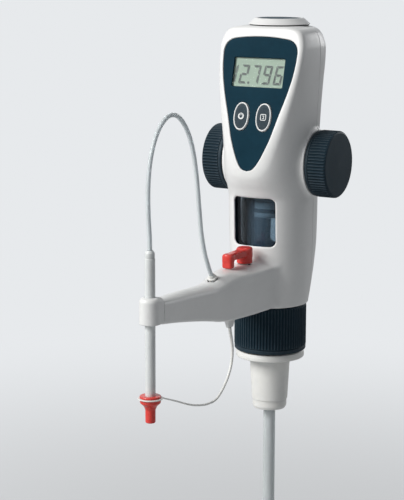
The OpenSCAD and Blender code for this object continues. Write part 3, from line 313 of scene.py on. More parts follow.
def piece(name, parts, body="burette_body", replaces=None, normals=None):
    """One piece from parts of (points in mm, faces, material). It stands for the node of its name, if there is
    one, or for the nodes in replaces. Its normals lean to its larger faces."""
    points, corners, totals, indices, materials, base = [], [], [], [], [], 0
    for p, faces, mat in parts:
        if mat not in materials:
            materials.append(mat)
        points.append(np.asarray(p, float))
        corners.append(np.concatenate(faces) + base)
        totals += [len(f) for f in faces]
        indices += [materials.index(mat)] * len(faces)
        base += len(p)
    points = np.concatenate(points)
    mesh = raw_mesh(name, points * MM, np.concatenate(corners), np.array(totals))
    for m in materials:
        mesh.materials.append(m)
    mesh.polygons.foreach_set("material_index", np.array(indices, np.int32))
    mesh.polygons.foreach_set("use_smooth", np.ones(len(totals), bool))
    mesh.update(calc_edges=True)
    mesh.validate()
    if normals is None:
        normals = leaning_normals(mesh)
    attribute = mesh.attributes.new("edge", "FLOAT", "POINT")
    attribute.data.foreach_set("value", edge_values(mesh, points).astype(np.float32))
    mesh.normals_split_custom_set_from_vertices(normals.tolist())
    o = bpy.data.objects.new(name, mesh)
    bpy.context.scene.collection.objects.link(o)
    if body:
        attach(o, body)
    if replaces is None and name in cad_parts:
        replaces = [name]
    if replaces:
        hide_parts(*replaces)
    return o


def round_off(corners, radius=None, steps=4):
    """An outline of 2-D corners, each rounded by radius, or else by its own third value."""
    p = np.array([c[:2] for c in corners], float)
    out = []
    for i, corner in enumerate(corners):
        r = corner[2] if radius is None else radius
        if r <= 0:
            out.append(p[i])
            continue
        u, v = p[i - 1] - p[i], p[(i + 1) % len(p)] - p[i]
        lu, lv = np.linalg.norm(u), np.linalg.norm(v)
        u, v = u / lu, v / lv
        half = math.acos(max(-1, min(1, float(u @ v)))) / 2
        if half > 1.5:
            out.append(p[i])
            continue
        cut = min(r / math.tan(half), lu * 0.49, lv * 0.49)
        centre = p[i] + (u + v) / np.linalg.norm(u + v) * (cut * math.tan(half) / sin(half))
        a, b = p[i] + u * cut - centre, p[i] + v * cut - centre
        turn = math.atan2(a[0] * b[1] - a[1] * b[0], float(a @ b))
        for t in turn * np.arange(steps + 1) / steps:
            out.append(centre + (a[0] * cos(t) - a[1] * sin(t), a[0] * sin(t) + a[1] * cos(t)))
    return np.array(out)


def subdivided(outline, longest):
    """The outline with its long sides cut into steps."""
    out = []
    for a, b in zip(outline, np.roll(outline, -1, 0)):
        k = max(1, int(math.ceil(np.linalg.norm(b - a) / longest)))
        out += [a + (b - a) * j / k for j in range(k)]
    return np.array(out)


def oblong(width, height, radius):
    """A rectangle round the origin with rounded corners, its sides cut for a smooth finish."""
    w, h = width / 2, height / 2
    return subdivided(round_off([(-w, -h), (w, -h), (w, h), (-w, h)], radius), 3.0)


def anticlockwise(outline):
    o = np.asarray(outline, float)
    after = np.roll(o, -1, 0)
    return o[::-1] if np.sum(o[:, 0] * after[:, 1] - after[:, 0] * o[:, 1]) < 0 else o


def walls(rows, n, closed=True, around=False):
    """Faces between rows of n points; closed joins each row's ends, around joins the last row to the first."""
    k, i = np.meshgrid(np.arange(rows - (not around)), np.arange(n - (not closed)), indexing="ij")
    k2, i2 = (k + 1) % rows, (i + 1) % n
    return np.stack([k * n + i, k * n + i2, k2 * n + i2, k2 * n + i], -1).reshape(-1, 4)


def rings(outlines, heights):
    """Outlines of equal length at given heights, joined one to the next and closed at both ends."""
    n, m = len(outlines[0]), len(outlines)
    p = np.concatenate([np.column_stack([o, np.full(n, h)]) for o, h in zip(outlines, heights)])
    return p, walls(m, n).tolist() + [list(range(n))[::-1], list(range((m - 1) * n, m * n))]


def lathe(outline, sides, shape=None):
    """A closed outline of (radius, height) turned round z. shape(radius, height, angle) may move the radius."""
    outline = anticlockwise(outline)
    n = len(outline)
    r, a = np.meshgrid(outline[:, 0], 2 * pi * np.arange(sides) / sides)
    z = np.broadcast_to(outline[:, 1], r.shape)
    if shape:
        r = shape(r, z, a)
    p = np.stack([r * np.cos(a), r * np.sin(a), z], -1).reshape(-1, 3)
    q = walls(sides, n, around=True)[:, ::-1]
    on_axis = outline[:, 0] < 1e-6
    return joined(p, q[~on_axis[q % n].all(1)])


def joined(points, faces):
    """Points at the same place joined, and faces left with fewer than three corners dropped."""
    _, first, back = np.unique(np.round(points, 5), axis=0, return_index=True, return_inverse=True)
    out = []
    for f in back.ravel()[faces].tolist():
        g = [v for k, v in enumerate(f) if v != f[k - 1]]
        if len(set(g)) >= 3:
            out.append(g)
    return points[first], out


def moved(part, matrix=None, shift=(0, 0, 0)):
    p, f, mat = part
    if matrix is not None:
        p = p @ np.array(matrix, float).T
    return p + np.array(shift, float), f, mat


def turned(corners, sides, mat, at=(0, 0, 0), matrix=None, steps=4, longest=None, shape=None):
    """A part turned from corners of (radius, height, rounding), stood on the point at."""
    outline = round_off(corners, steps=steps)
    if longest:
        outline = subdivided(outline, longest)
    return moved((*lathe(outline, sides, shape), mat), matrix, at)


def prism(outline, low, high, bevel=0.0, steps=3):
    """An outline in x, y stood up from low to high, its top edge rounded by drawing the outline in."""
    outline = anticlockwise(outline)
    side = np.roll(outline, -1, 0) - outline
    side /= np.maximum(np.linalg.norm(side, axis=1), 1e-9)[:, None]
    normal = np.stack([side[:, 1], -side[:, 0]], 1)
    out = normal + np.roll(normal, 1, 0)
    out /= np.maximum((out ** 2).sum(1) / 2, 0.4)[:, None]
    levels = [(0.0, low)]
    for t in pi / 2 * np.arange(steps + 1) / steps if bevel else [0.0]:
        levels.append((bevel * (1 - cos(t)), high - bevel + bevel * sin(t)))
    return rings([outline - out * d for d, _ in levels], [z for _, z in levels])


def tube(line, radius, bore, first, last, sides=20):
    """A round tube along a line in the plane x = 0, with a radius for each point, square to first and last."""
    d = np.gradient(line, axis=0)
    d[0], d[-1] = first, last
    d /= np.linalg.norm(d, axis=1)[:, None]
    side = np.array([1.0, 0, 0])
    a = 2 * pi * np.arange(sides) / sides
    ring = np.cos(a)[None, :, None] * side - np.sin(a)[None, :, None] * np.cross(side, d)[:, None, :]
    n, m = sides, len(line)
    p = (line[:, None, :] + ring * radius[:, None, None]).reshape(-1, 3)
    q = walls(m, n).tolist()
    if not bore:
        return p, q + [list(range(n))[::-1], list(range((m - 1) * n, m * n))]
    inner = (line[:, None, :] + ring * bore).reshape(-1, 3)
    at = m * n
    q += [[at + b for b in f[::-1]] for f in q]
    for i in range(n):
        j = (i + 1) % n
        q.append([at + i, at + j, j, i])
        q.append([at - n + i, at - n + j, 2 * at - n + j, 2 * at - n + i])
    return np.concatenate([p, inner]), q


def strip(line, width, low, high, closed=True):
    """A line of a given width, as thin raised print."""
    o = np.asarray(line, float)
    d = (np.roll(o, -1, 0) - np.roll(o, 1, 0)) if closed else np.gradient(o, axis=0)
    n = np.stack([d[:, 1], -d[:, 0]], 1)
    n /= np.linalg.norm(n, axis=1)[:, None]
    m, right, left = len(o), o + n * width / 2, o - n * width / 2
    p = np.concatenate([np.column_stack([q, np.full(m, h)])
                        for q, h in ((right, low), (right, high), (left, high), (left, low))])
    f = walls(4, m, closed, around=True).tolist()
    if not closed:
        f += [[0, m, 2 * m, 3 * m], [4 * m - 1, 3 * m - 1, 2 * m - 1, m - 1]]
    return p, f


# ---------------------------------------------------------------- surfaces from distance fields


def smax(a, b, k):
    """The larger of a and b, with a rounding k wide where they cross."""
    h = np.maximum(k - np.abs(a - b), 0) / k
    return np.maximum(a, b) + h * h * k / 4


def smin(a, b, k):
    return -smax(-a, -b, k)


def sampled(field, p, size=400000):
    return np.concatenate([field(p[i:i + size]) for i in range(0, len(p), size)]) if len(p) else np.zeros(0)


def slopes(field, p, e=0.04):
    steps = np.eye(3) * e
    return np.stack([(sampled(field, p + d) - sampled(field, p - d)) / (2 * e) for d in steps], 1)


def settle(field, p, most):
    """Points moved onto field = 0, by at most a given length, and the surface's normals there."""
    g = slopes(field, p)
    move = -(sampled(field, p) / np.maximum((g ** 2).sum(1), 0.05))[:, None] * g
    length = np.linalg.norm(move, axis=1)
    p = p + move * np.minimum(1, most / np.maximum(length, 1e-9))[:, None]
    g = slopes(field, p)
    return p, g / np.maximum(np.linalg.norm(g, axis=1), 1e-9)[:, None]


CORNERS = np.array([(i, j, k) for i in (0, 1) for j in (0, 1) for k in (0, 1)])
EDGES = [(a, b) for a in range(8) for b in range(a + 1, 8) if abs(CORNERS[a] - CORNERS[b]).sum() == 1]
BLOCK, SLACK = 8, 2.0       # cells in a block's side; how far past its corners a block may still be near


def surface(field, low, high, step):
    """Points and four-sided faces of the surface where the field is 0. The field is negative inside."""
    low, high = np.array(low, float) - step * 1.37, np.array(high, float) + step * 1.41
    blocks = np.ceil((high - low) / (BLOCK * step)).astype(int)
    cells = blocks * BLOCK + 1
    index = np.stack(np.meshgrid(*[np.arange(n) for n in blocks], indexing="ij"), -1).reshape(-1, 3)
    centre = low + (index + 0.5) * BLOCK * step
    index = index[np.abs(sampled(field, centre)) < SLACK * BLOCK * step * 0.5 * math.sqrt(3)]
    grid = np.stack(np.meshgrid(*[np.arange(BLOCK + 1)] * 3, indexing="ij"), -1).reshape(-1, 3)
    all_points, all_keys, all_signs = [], [], []
    for at in range(0, len(index), 500):
        some = index[at:at + 500]
        corner = (some[:, None, :] * BLOCK + grid[None]) * step + low
        v = sampled(field, corner.reshape(-1, 3)).reshape(len(some), BLOCK + 1, BLOCK + 1, BLOCK + 1)
        stack = np.stack([v[:, i:BLOCK + i, j:BLOCK + j, k:BLOCK + k] for i, j, k in CORNERS], -1)
        inside = stack < 0
        b, i, j, k = np.nonzero(inside.any(-1) & ~inside.all(-1))
        vals = stack[b, i, j, k]
        total, count = np.zeros((len(b), 3)), np.zeros(len(b))
        for e0, e1 in EDGES:
            v0, v1 = vals[:, e0], vals[:, e1]
            cross = (v0 < 0) != (v1 < 0)
            t = np.where(cross, v0 / np.where(cross, v0 - v1, 1), 0)
            total += np.where(cross[:, None], CORNERS[e0] + t[:, None] * (CORNERS[e1] - CORNERS[e0]), 0)
            count += cross
        cell = some[b] * BLOCK + np.stack([i, j, k], 1)
        all_points.append((cell + total / count[:, None]) * step + low)
        all_keys.append((cell[:, 0] * cells[1] + cell[:, 1]) * cells[2] + cell[:, 2])
        all_signs.append(vals[:, [0, 4, 2, 1]] < 0)
    keys = np.concatenate(all_keys)
    order = np.argsort(keys)
    points, keys, signs = np.concatenate(all_points)[order], keys[order], np.concatenate(all_signs)[order]
    stride = (int(cells[1] * cells[2]), int(cells[2]), 1)
    quads = []
    for axis in range(3):
        u, w = stride[(axis + 1) % 3], stride[(axis + 2) % 3]
        crossing = np.nonzero(signs[:, 0] != signs[:, axis + 1])[0]
        wanted = keys[crossing][:, None] + np.array([0, -u, -u - w, -w])
        q = np.minimum(np.searchsorted(keys, wanted), len(keys) - 1)
        ok = (keys[q] == wanted).all(1)
        quads.append(np.where(signs[crossing, 0][:, None], q, q[:, ::-1])[ok])
    return points, np.concatenate(quads)


def thinned(points, quads, share):
    """The mesh with fewer faces where it is flat, by Blender's Decimate."""
    mesh = raw_mesh("thin", points, quads.ravel(), np.full(len(quads), 4))
    mesh.update(calc_edges=True)
    o = bpy.data.objects.new("thin", mesh)
    bpy.context.scene.collection.objects.link(o)
    less = o.modifiers.new("less", "DECIMATE")
    less.ratio = share
    less.use_collapse_triangulate = True
    made = bpy.data.meshes.new_from_object(o.evaluated_get(bpy.context.evaluated_depsgraph_get()))
    made.calc_loop_triangles()
    p = read(made.vertices, "co", 3).astype(float)
    t = read(made.loop_triangles, "vertices", 3, np.int32)
    bpy.data.objects.remove(o)
    for used in (mesh, made):
        bpy.data.meshes.remove(used)
    return p, t


def field_piece(name, field, low, high, step, mat, share, body="burette_body", replaces=None, deep=None):
    """A piece whose surface is the field's. deep(points) says which faces are inside and take the painted shade
    of the unlit interior.
    """
    p, q = surface(field, low, high, step)
    p, _ = settle(field, p, step * 0.7)
    if share < 1:
        p, q = thinned(p, q, share)
    p, n = settle(field, p, step * 0.4)
    o = piece(name, [(p, q, mat)], body, replaces, n)
    if deep:
        o.data.materials.append(INSIDE_SHADE)
        o.data.polygons.foreach_set("material_index", deep(p[q].mean(1)).astype(np.int32))


def pchip(x, y, q):
    """Monotone cubic through the points (x, y), read at q."""
    x, y = np.array(x, float), np.array(y, float)
    h, d = np.diff(x), np.diff(y) / np.diff(x)
    m = np.zeros(len(x))
    w1, w2 = 2 * h[1:] + h[:-1], h[1:] + 2 * h[:-1]
    same = d[1:] * d[:-1] > 0
    m[1:-1][same] = ((w1 + w2)[same]
                     / (w1[same] / d[:-1][same] + w2[same] / d[1:][same]))
    m[0], m[-1] = d[0], d[-1]
    i = np.clip(np.searchsorted(x, q) - 1, 0, len(x) - 2)
    t = np.clip((q - x[i]) / h[i], 0, 1)
    return ((2 * t ** 3 - 3 * t ** 2 + 1) * y[i] + (t ** 3 - 2 * t ** 2 + t) * h[i] * m[i]
            + (3 * t ** 2 - 2 * t ** 3) * y[i + 1] + (t ** 3 - t ** 2) * h[i] * m[i + 1])


# the housing's sections: height, half width, middle's y, front depth, rear depth, squareness
SECTIONS = np.array([
    (0.00, -3.4, 0.8, -7.0, -7.0, 2.00), (0.12, -2.1, 1.4, -5.7, -5.7, 2.10), (0.28, -1.1, 2.4, -3.2, -3.2, 2.20),
    (0.44, -0.7, 3.0, -2.2, -1.7, 2.35), (0.60, -0.6, 3.0, -1.7, -1.2, 2.40), (0.76, -0.4, 3.0, -0.7, -0.7, 2.35),
    (0.83, -0.2, 2.6, 2.0, -0.4, 2.30), (0.89, 0.0, 2.4, 5.3, -0.2, 2.30), (0.95, 0.1, 2.2, 7.5, -0.1, 2.30),
    (1.00, 0.2, 2.0, 8.2, 0.0, 2.30), (1.15, 0.8, 1.6, 8.3, 0.4, 2.30), (1.40, 2.0, 0.6, 9.0, 1.3, 2.40),
    (1.60, 3.0, 0.0, 10.0, 2.0, 2.60), (1.76, 3.5, 0.0, 10.0, 2.0, 2.90), (1.84, 3.4, 0.0, 10.0, 2.0, 3.00),
    (1.90, 2.6, 0.0, 9.0, 1.6, 2.80), (1.95, 0.8, 0.0, 7.0, 0.8, 2.60), (1.98, -1.8, 0.0, 4.0, -0.4, 2.40),
    (2.00, -5.5, 0.0, 0.0, -2.0, 2.20)])
SECTION_Z = np.where(SECTIONS[:, 0] <= 1, BODY_Z + SECTIONS[:, 0] * (SHAFT_Z - BODY_Z),
                     SHAFT_Z + (SECTIONS[:, 0] - 1) * (TOP_Z - SHAFT_Z))
STEP = 0.25                 # of the tables below


def read_between(table, first, q):
    """Rows of a table, each STEP from the last, read at q."""
    at = np.clip((q - first) / STEP, 0, len(table) - 1.001)
    i = at.astype(int)
    f = (at - i)[:, None]
    return table[i] * (1 - f) + table[i + 1] * f


def superellipse(u, v, a, b, e, least):
    """Distance from the outline where |u/a|^e + |v/b|^e is 1."""
    u, v = np.abs(u) / a + 1e-9, np.abs(v) / b + 1e-9
    pu, pv = u ** e, v ** e
    s = (pu + pv) ** (1 / e)
    grow = s / (pu + pv) * np.sqrt((pu / u / a) ** 2 + (pv / v / b) ** 2)
    return (s - 1) / np.maximum(grow, least)


Z_GRID = np.arange(20, 262, STEP)
TABLE = np.stack([pchip(SECTION_Z, SECTIONS[:, c], np.clip(Z_GRID, BODY_Z, TOP_Z)) for c in range(1, 6)], 1)
TABLE[:, 0] += HALF_W
TABLE[:, 2:4] += HALF_D
STEEP = np.abs(np.gradient(TABLE[:, [0, 2, 3]], STEP, axis=0)).max(1)
TABLE = np.column_stack([TABLE, np.sqrt(1 + np.minimum(STEEP, 2.5) ** 2)])


def column(x, y, z, inset):
    """Distance from the housing's column, without its top, bottom and display face."""
    half, middle, front, rear, squareness, stretch = read_between(TABLE, Z_GRID[0], z).T
    depth = np.where(y < middle, front, rear) - inset
    return superellipse(x, y - middle, half - inset, depth, squareness, 0.012) / stretch


def off_face(y, z):
    """Height above the display face's plane."""
    return -cos(TILT) * (y - PANEL_Y) + sin(TILT) * (z - SHAFT_Z)


def up_face(y, z):
    """Place up the display face's slope."""
    return sin(TILT) * (y - PANEL_Y) + cos(TILT) * (z - SHAFT_Z)


ARM_Y = [-160, -158, -150, -146, -139, -131.5, -126, -116, -110, -103, -97, -93, -88, -81.5, -76, -70, -64,
         -46, -20]
ARM_TOP = [71.4, 71.5, 71.7, 71.7, 71.6, 71.4, 71.2, 70.7, 70.4, 70.0, 69.9, 70.4, 71.6, 73.1, 74.4, 74.8, 74.7,
           74.6, 74.5]
ARM_DROP = [0.8, 1.3, 2.6, 3.0, 3.3, 3.5, 3.6, 3.6, 3.7, 3.8, 4.2, 4.7, 5.0, 5.2, 5.2, 4.8, 4.2, 4.0, 4.0]
CAD_Y = -20 - 140 * np.array([1, 0.9, 0.78, 0.66, 0.55, 0.5, 0.45, 0.4, 0.35, 0.28, 0.19, 0.1, 0])
ARM_W = TIP_W + np.array([0, 0.2, 0.7, 1.3, 2.2, 2.7, 3.4, 4.3, 5.2, 6.6, 8.4, 9.6, 10.0])
ARM_LOW = 56 + np.array([0, -1.9, -4.6, -7.6, -10.8, -12.4, -13.4, -14.0, -14.3, -14.4, -14.5, -14.5, -14.5])
SHARP = 1e-9                # a rounding too small to show
Y_GRID = np.arange(-166, -14, STEP)
ARM_TABLE = np.stack([pchip(ARM_Y, ARM_TOP, Y_GRID), pchip(ARM_Y, ARM_DROP, Y_GRID),
                      pchip(CAD_Y, ARM_W, Y_GRID), pchip(CAD_Y, ARM_LOW, Y_GRID)], 1)


def arm(x, y, z, inset=0.0, k=1.7):
    """Distance from the arm, drawn in by inset: flat sides, an arched crown and a rounded underside."""
    top, drop, w, low = read_between(ARM_TABLE, Y_GRID[0], y).T
    u = np.abs(x)
    share = np.minimum(u / w, 1.2)
    lean = drop * 2.2 * share ** 1.2 / w
    crown = (z - top + drop * share ** 2.2) / np.sqrt(1 + lean ** 2)
    d = smax(crown, u - w, k)
    d = smax(d, (low - z) * 0.98, k * 1.5)
    return smax(d, TIP_Y - y, min(k, 0.8)) + inset


FIN_Z, FIN_SLOPE = 33, 0.47


def fin(x, y, z):
    """The tab under the arm that the tether hangs from."""
    d = np.maximum(np.abs(y + 61) - (3.0 + (z - FIN_Z) * FIN_SLOPE), FIN_Z - z)
    d = smax(d / math.sqrt(1 + FIN_SLOPE ** 2), np.abs(x) - (1.3 + (z - FIN_Z) * 0.06), 0.9)
    return np.maximum(d, z - FIN_Z - 10.6)


def form(p, with_arm=True):
    """The solid that the housing and its arm fill."""
    x, y, z = p.T
    d = smax(column(x, y, z, 0.0), off_face(y, z), 3.2)
    d = smax(d, z - TOP_Z, 3.0)
    ax, rho = np.abs(x), np.hypot(y - SHAFT_Y, z - SHAFT_Z)
    m = (ax > 12) & (rho < 44)
    if m.any():
        a, r = ax[m], rho[m]
        width = 23.3 - np.clip(BOSS_X - a, 0, 9) * 0.42
        boss = smax(smax((r - width) / 1.03, a - BOSS_X, 1.3), 21.5 - a, 6.0)
        d[m] = smax(smin(d[m], boss, 5.0), a - BOSS_X, 1.0)
    m = (y < -14) & (z < 90)
    if with_arm and m.any():
        near = p[m].T
        reach = smin(arm(*near), fin(*near), 1.6)
        reach = smax(reach, BODY_Z + 1.2 - z[m] - 30 * (y[m] < -50), 1.0)
        d[m] = smin(d[m], reach, 4.5)
    return smax(d, BODY_Z - z - 60 * (y < -50), 1.2)


def hollow(p):
    """The space inside the housing and the arm."""
    x, y, z = p.T
    d = np.maximum(column(x, y, z, WALL), off_face(y, z) + 3.9)
    d = np.maximum(d, z - TOP_Z + WALL)
    d = np.minimum(d, np.maximum(np.hypot(y - SHAFT_Y, z - SHAFT_Z) - 20.0, np.abs(x) - 30.5))
    m = (y < -14) & (z < 90)
    if m.any():
        d[m] = np.minimum(d[m], np.maximum(arm(*p[m].T, 1.8, SHARP), TIP_Y + 1.8 - y[m]))
    return d


SHIELD_V = np.array([-2.3, -1.6, 0.6, 4.3, 9.0, 14.6, 21.2, 28.7, 37.2, 46.6, 56.0, 65.4, 74.8, 82.3, 100])
SHIELD_W = np.array([0.0, 3.0, 5.6, 8.1, 10.4, 12.75, 15.2, 17.3, 19.7, 22.6, 25.2, 27.2, 28.3, 28.6, 28.6])
V_GRID = np.arange(-8, 110, 0.2)
SHIELD_TABLE = pchip(SHIELD_V, SHIELD_W, V_GRID)
SHIELD_TABLE[V_GRID < -2.3] = -2.0 * (-2.3 - V_GRID[V_GRID < -2.3])


def shield(u, v):
    """Distance from the outline of the dark face plate, in its own plane."""
    w = np.interp(v, V_GRID, SHIELD_TABLE)
    lean = np.interp(v, V_GRID, np.clip(np.gradient(SHIELD_TABLE, 0.2), -0.2, 3.0))
    side = (np.abs(u) - w) / np.sqrt(1 + lean ** 2)
    return smax(side, v - (91.7 - 0.0036 * u * u), 9.0)


def box2(u, v, w, h, r):
    """Distance from a rectangle round the origin with rounded corners."""
    a, b = np.abs(u) - w / 2 + r, np.abs(v) - h / 2 + r
    return np.minimum(np.maximum(a, b), 0) + np.hypot(np.maximum(a, 0), np.maximum(b, 0)) - r


LCD_V, KEY_V, KEY_U = -2.3 + 94 * 0.735, -2.3 + 94 * 0.403, 8.7
LCD_W, LCD_H, KEY_RX, KEY_RY, KEY_E = 39.6, 20.6, 5.9, 9.8, 2.15


def key_oval(u, v, grow):
    """Distance from the two keys' ovals."""
    return superellipse(np.abs(u) - KEY_U, v - KEY_V, KEY_RX + grow, KEY_RY + grow, KEY_E, 0.05)


def cut_out(d, p, mask, cut, k):
    """The field d with a cut taken out, worked out only where mask holds."""
    if mask.any():
        d[mask] = smax(d[mask], -cut(*p[mask].T), k)
    return d


PORT = np.array([0, -86, 72.0])
PORT_DIR = np.array([0, -sin(math.radians(33)), cos(math.radians(33))])
GLASS_Z, CAP_Y = 55.5, 9.6
WIN_Z, WIN_H, WIN_W = GLASS_Z + 29.5, 34.5, 32.4
REAR_Z, REAR_H = GLASS_Z + 22, 25.0
DOOR_Z, DOOR_H, DOOR_W = SHAFT_Z + 38, 44.0, 26.0
SCREWS = [(22.4, 60.0, 13.0), (24.0, 204.0, 16.8)]     # x, height, y of each recess's floor


def port_cut(x, y, z):
    q = np.column_stack([x, y, z]) - PORT
    h = q @ PORT_DIR
    r = np.sqrt(np.maximum((q ** 2).sum(1) - h * h, 0))
    return np.minimum(np.maximum(r - 3.45, np.abs(h) - 8), smax(r - 4.9, -(h + 0.35), 1.2))


def shared_cuts(p, d, side):
    """What both shells share: the shaft's holes, the hole under the top cap, and the line where they meet."""
    x, y, z = p.T
    d = cut_out(d, p, (np.abs(x) > 24) & (np.abs(z - SHAFT_Z) < 9),
                lambda x, y, z: np.hypot(y - SHAFT_Y, z - SHAFT_Z) - 5.1, 0.4)
    d = cut_out(d, p, z > 228, lambda x, y, z: np.hypot(x, y - CAP_Y) - 8.1, 0.4)
    return smax(d, side * (y - SHAFT_Y) + 0.06, 0.55)


def front_field(p):
    x, y, z = p.T
    d = smax(form(p), -hollow(p), 0.4)
    v = up_face(y, z)
    near = (off_face(y, z) > -10) & (v > -8)
    d = cut_out(d, p, near, lambda x, y, z: np.maximum(
        shield(x, up_face(y, z)) - 0.18, -off_face(y, z) - 2.3), 0.7)
    d = cut_out(d, p, near & (v > 50), lambda x, y, z: np.maximum(
        box2(x, up_face(y, z) - LCD_V, LCD_W + 5, LCD_H + 5, 1.0), -9 - off_face(y, z)), 0.4)
    d = cut_out(d, p, near & (v < 56) & (v > 16), lambda x, y, z: np.maximum(
        key_oval(x, up_face(y, z), 1.9), -9 - off_face(y, z)), 0.4)
    d = cut_out(d, p, (y < -18) & (z > 78) & (z < 127) & (np.abs(x) < 24),
                lambda x, y, z: box2(x, z - WIN_Z - WIN_H / 2, WIN_W, WIN_H, 4.0), 1.5)
    d = cut_out(d, p, (z > 60) & (z < 80) & (y < -70) & (y > -100), port_cut, 0.7)
    d = cut_out(d, p, (z > 58) & (y < -30) & (y > -50) & (z < 82),
                lambda x, y, z: np.maximum(np.hypot(x, y - KNOB_Y) - 4.6, 60 - z), 0.8)
    d = cut_out(d, p, (y < -138) & (z > 54) & (z < 68),
                lambda x, y, z: np.maximum(box2(x, z - 61.1, 8.3, 5.3, 0.6), y + 140), 0.4)
    return shared_cuts(p, d, 1)


def rear_field(p):
    x, y, z = p.T
    outer = form(p, False)
    d = smax(outer, -hollow(p), 0.4)
    ax = np.abs(x)
    for screw_x, screw_z, floor_y in SCREWS:
        m = (ax > 12) & (np.abs(z - screw_z) < 12)
        if m.any():
            post = np.hypot(ax[m] - screw_x, z[m] - screw_z)
            d[m] = np.minimum(d[m], np.maximum(np.maximum(post - 4.6, outer[m] + 1.1), y[m] - 40))
            d[m] = smax(d[m], -np.minimum(post - 1.5, np.maximum(post - 3.1, floor_y - y[m])), 0.5)
    d = cut_out(d, p, (y > 20) & (z < 110),
                lambda x, y, z: box2(x, z - REAR_Z - REAR_H / 2, WIN_W, REAR_H, 4.0), 1.2)
    d = cut_out(d, p, (y > 20) & (z > 170), lambda x, y, z: np.minimum(
        box2(x, z - DOOR_Z - DOOR_H / 2, DOOR_W, DOOR_H, 2.5),
        box2(np.abs(x) - 5, z - DOOR_Z + 0.8, 4.4, 3, 0.6)), 0.7)
    d = cut_out(d, p, (y > 15) & (z < 60), lambda x, y, z: np.hypot(x, z - 50) - 4.3, 0.8)
    return shared_cuts(p, d, -1)


SHELL_STEP, INNER_DEPTH = 0.55, -1.25
# Faces deeper than INNER_DEPTH inside the outer form take that painted shade.
field_piece("front_shell", front_field, (-33.5, -161, 32), (33.5, 8, 239), SHELL_STEP, WHITE,
            0.32, replaces=["front_housing", "arm_housing"], deep=lambda p: form(p) < INNER_DEPTH)
field_piece("rear_shell", rear_field, (-33.5, 7.5, 39), (33.5, 37, 239), SHELL_STEP, WHITE, 0.35,
            replaces=["rear_housing"], deep=lambda p: form(p, False) < INNER_DEPTH)

# ---------------------------------------------------------------- display face

FACE_AXES = np.array([(1, 0, 0), (0, sin(TILT), cos(TILT)), (0, -cos(TILT), sin(TILT))]).T


def on_face(part, u=0.0, v=0.0):
    """A part drawn with x across, y up the slope and z outwards, put at u, v on the display face."""
    return moved(moved(part, shift=(u, v, 0)), FACE_AXES, (0, PANEL_Y, SHAFT_Z))


def face_field(p):
    u, v, n = p[:, 0], up_face(p[:, 1], p[:, 2]), off_face(p[:, 1], p[:, 2])
    d = np.maximum(smax(shield(u, v), n + 0.5, 0.5), -2.3 - n)
    hole = np.minimum(box2(u, v - LCD_V, LCD_W, LCD_H, 1.0), key_oval(u, v, 0.3))
    return smax(d, -hole, 0.45)


field_piece("face_plate", face_field, (-29, -40, 138), (29, -14, 234), 0.42, FACE, 0.4)

SCREEN_N = -2.4
screen = prism(oblong(44, 25, 0.6), SCREEN_N - 4.8, SCREEN_N, 0.25)
piece("lcd_module", [on_face((*screen, SCREEN), v=LCD_V)])
pane = prism(oblong(39.3, 20.3, 0.9), -1.9, -0.72, 0.25)
piece("lcd_window", [on_face((*pane, DISPLAY_PANE), v=LCD_V)])

SEGMENTS = {"1": "bc", "2": "abged", "6": "afgedc", "7": "abc", "9": "abcdfg"}


def digit_shapes(text, left, low, width, height, pitch, bar, slant):
    """Outlines of slanted seven-segment numbers and their point."""
    gap, mid = bar * 0.13, height / 2
    top = [(gap, height), (width - gap, height), (width - bar - gap, height - bar), (bar + gap, height - bar)]
    upper = [(0, height - gap), (0, mid + gap), (bar * 0.5, mid + gap), (bar, mid + bar * 0.5 + gap),
             (bar, height - bar - gap)]
    forms = {"a": top, "d": [(x, height - y) for x, y in top],
             "f": upper, "e": [(x, height - y) for x, y in upper],
             "b": [(width - x, y) for x, y in upper], "c": [(width - x, height - y) for x, y in upper],
             "g": [(bar * 0.55 + gap, mid), (bar + gap, mid + bar / 2), (width - bar - gap, mid + bar / 2),
                   (width - bar * 0.55 - gap, mid), (width - bar - gap, mid - bar / 2),
                   (bar + gap, mid - bar / 2)]}
    point = [(-1.9, 0), (-1.9 + bar, 0), (-1.9 + bar, bar), (-1.9, bar)]
    out, at = [], left
    for c in text:
        for shape in [point] if c == "." else [forms[s] for s in SEGMENTS[c]]:
            out.append([(at + x + y * slant, low + y) for x, y in shape])
        at += 0 if c == "." else pitch
    return out


digits, shades = [], []
for shape in digit_shapes("12.796", -24.8, -7.9, 6.3, 13.2, 9.0, 1.5, 0.14):
    s = round_off(shape, 0.12, 2)
    digits.append(on_face((*prism(s, SCREEN_N, SCREEN_N + 0.07), INK), v=LCD_V))
    # A painted shadow of each digit on the screen, offset right and down.
    shades.append(on_face((*prism(s + (0.35, -0.4), SCREEN_N, SCREEN_N + 0.03), SHADE), v=LCD_V))
piece("lcd_digits", digits)
piece("lcd_digit_shade", shades)


def oval(grow, n=72):
    a = 2 * pi * np.arange(n) / n
    c, s = np.cos(a), np.sin(a)
    return np.column_stack([(KEY_RX + grow) * np.sign(c) * np.abs(c) ** (2 / KEY_E),
                            (KEY_RY + grow) * np.sign(s) * np.abs(s) ** (2 / KEY_E)])


def arc(radius, first, last, step):
    a = np.radians(np.arange(first, last, step))
    return np.column_stack([radius * np.cos(a), radius * np.sin(a)])


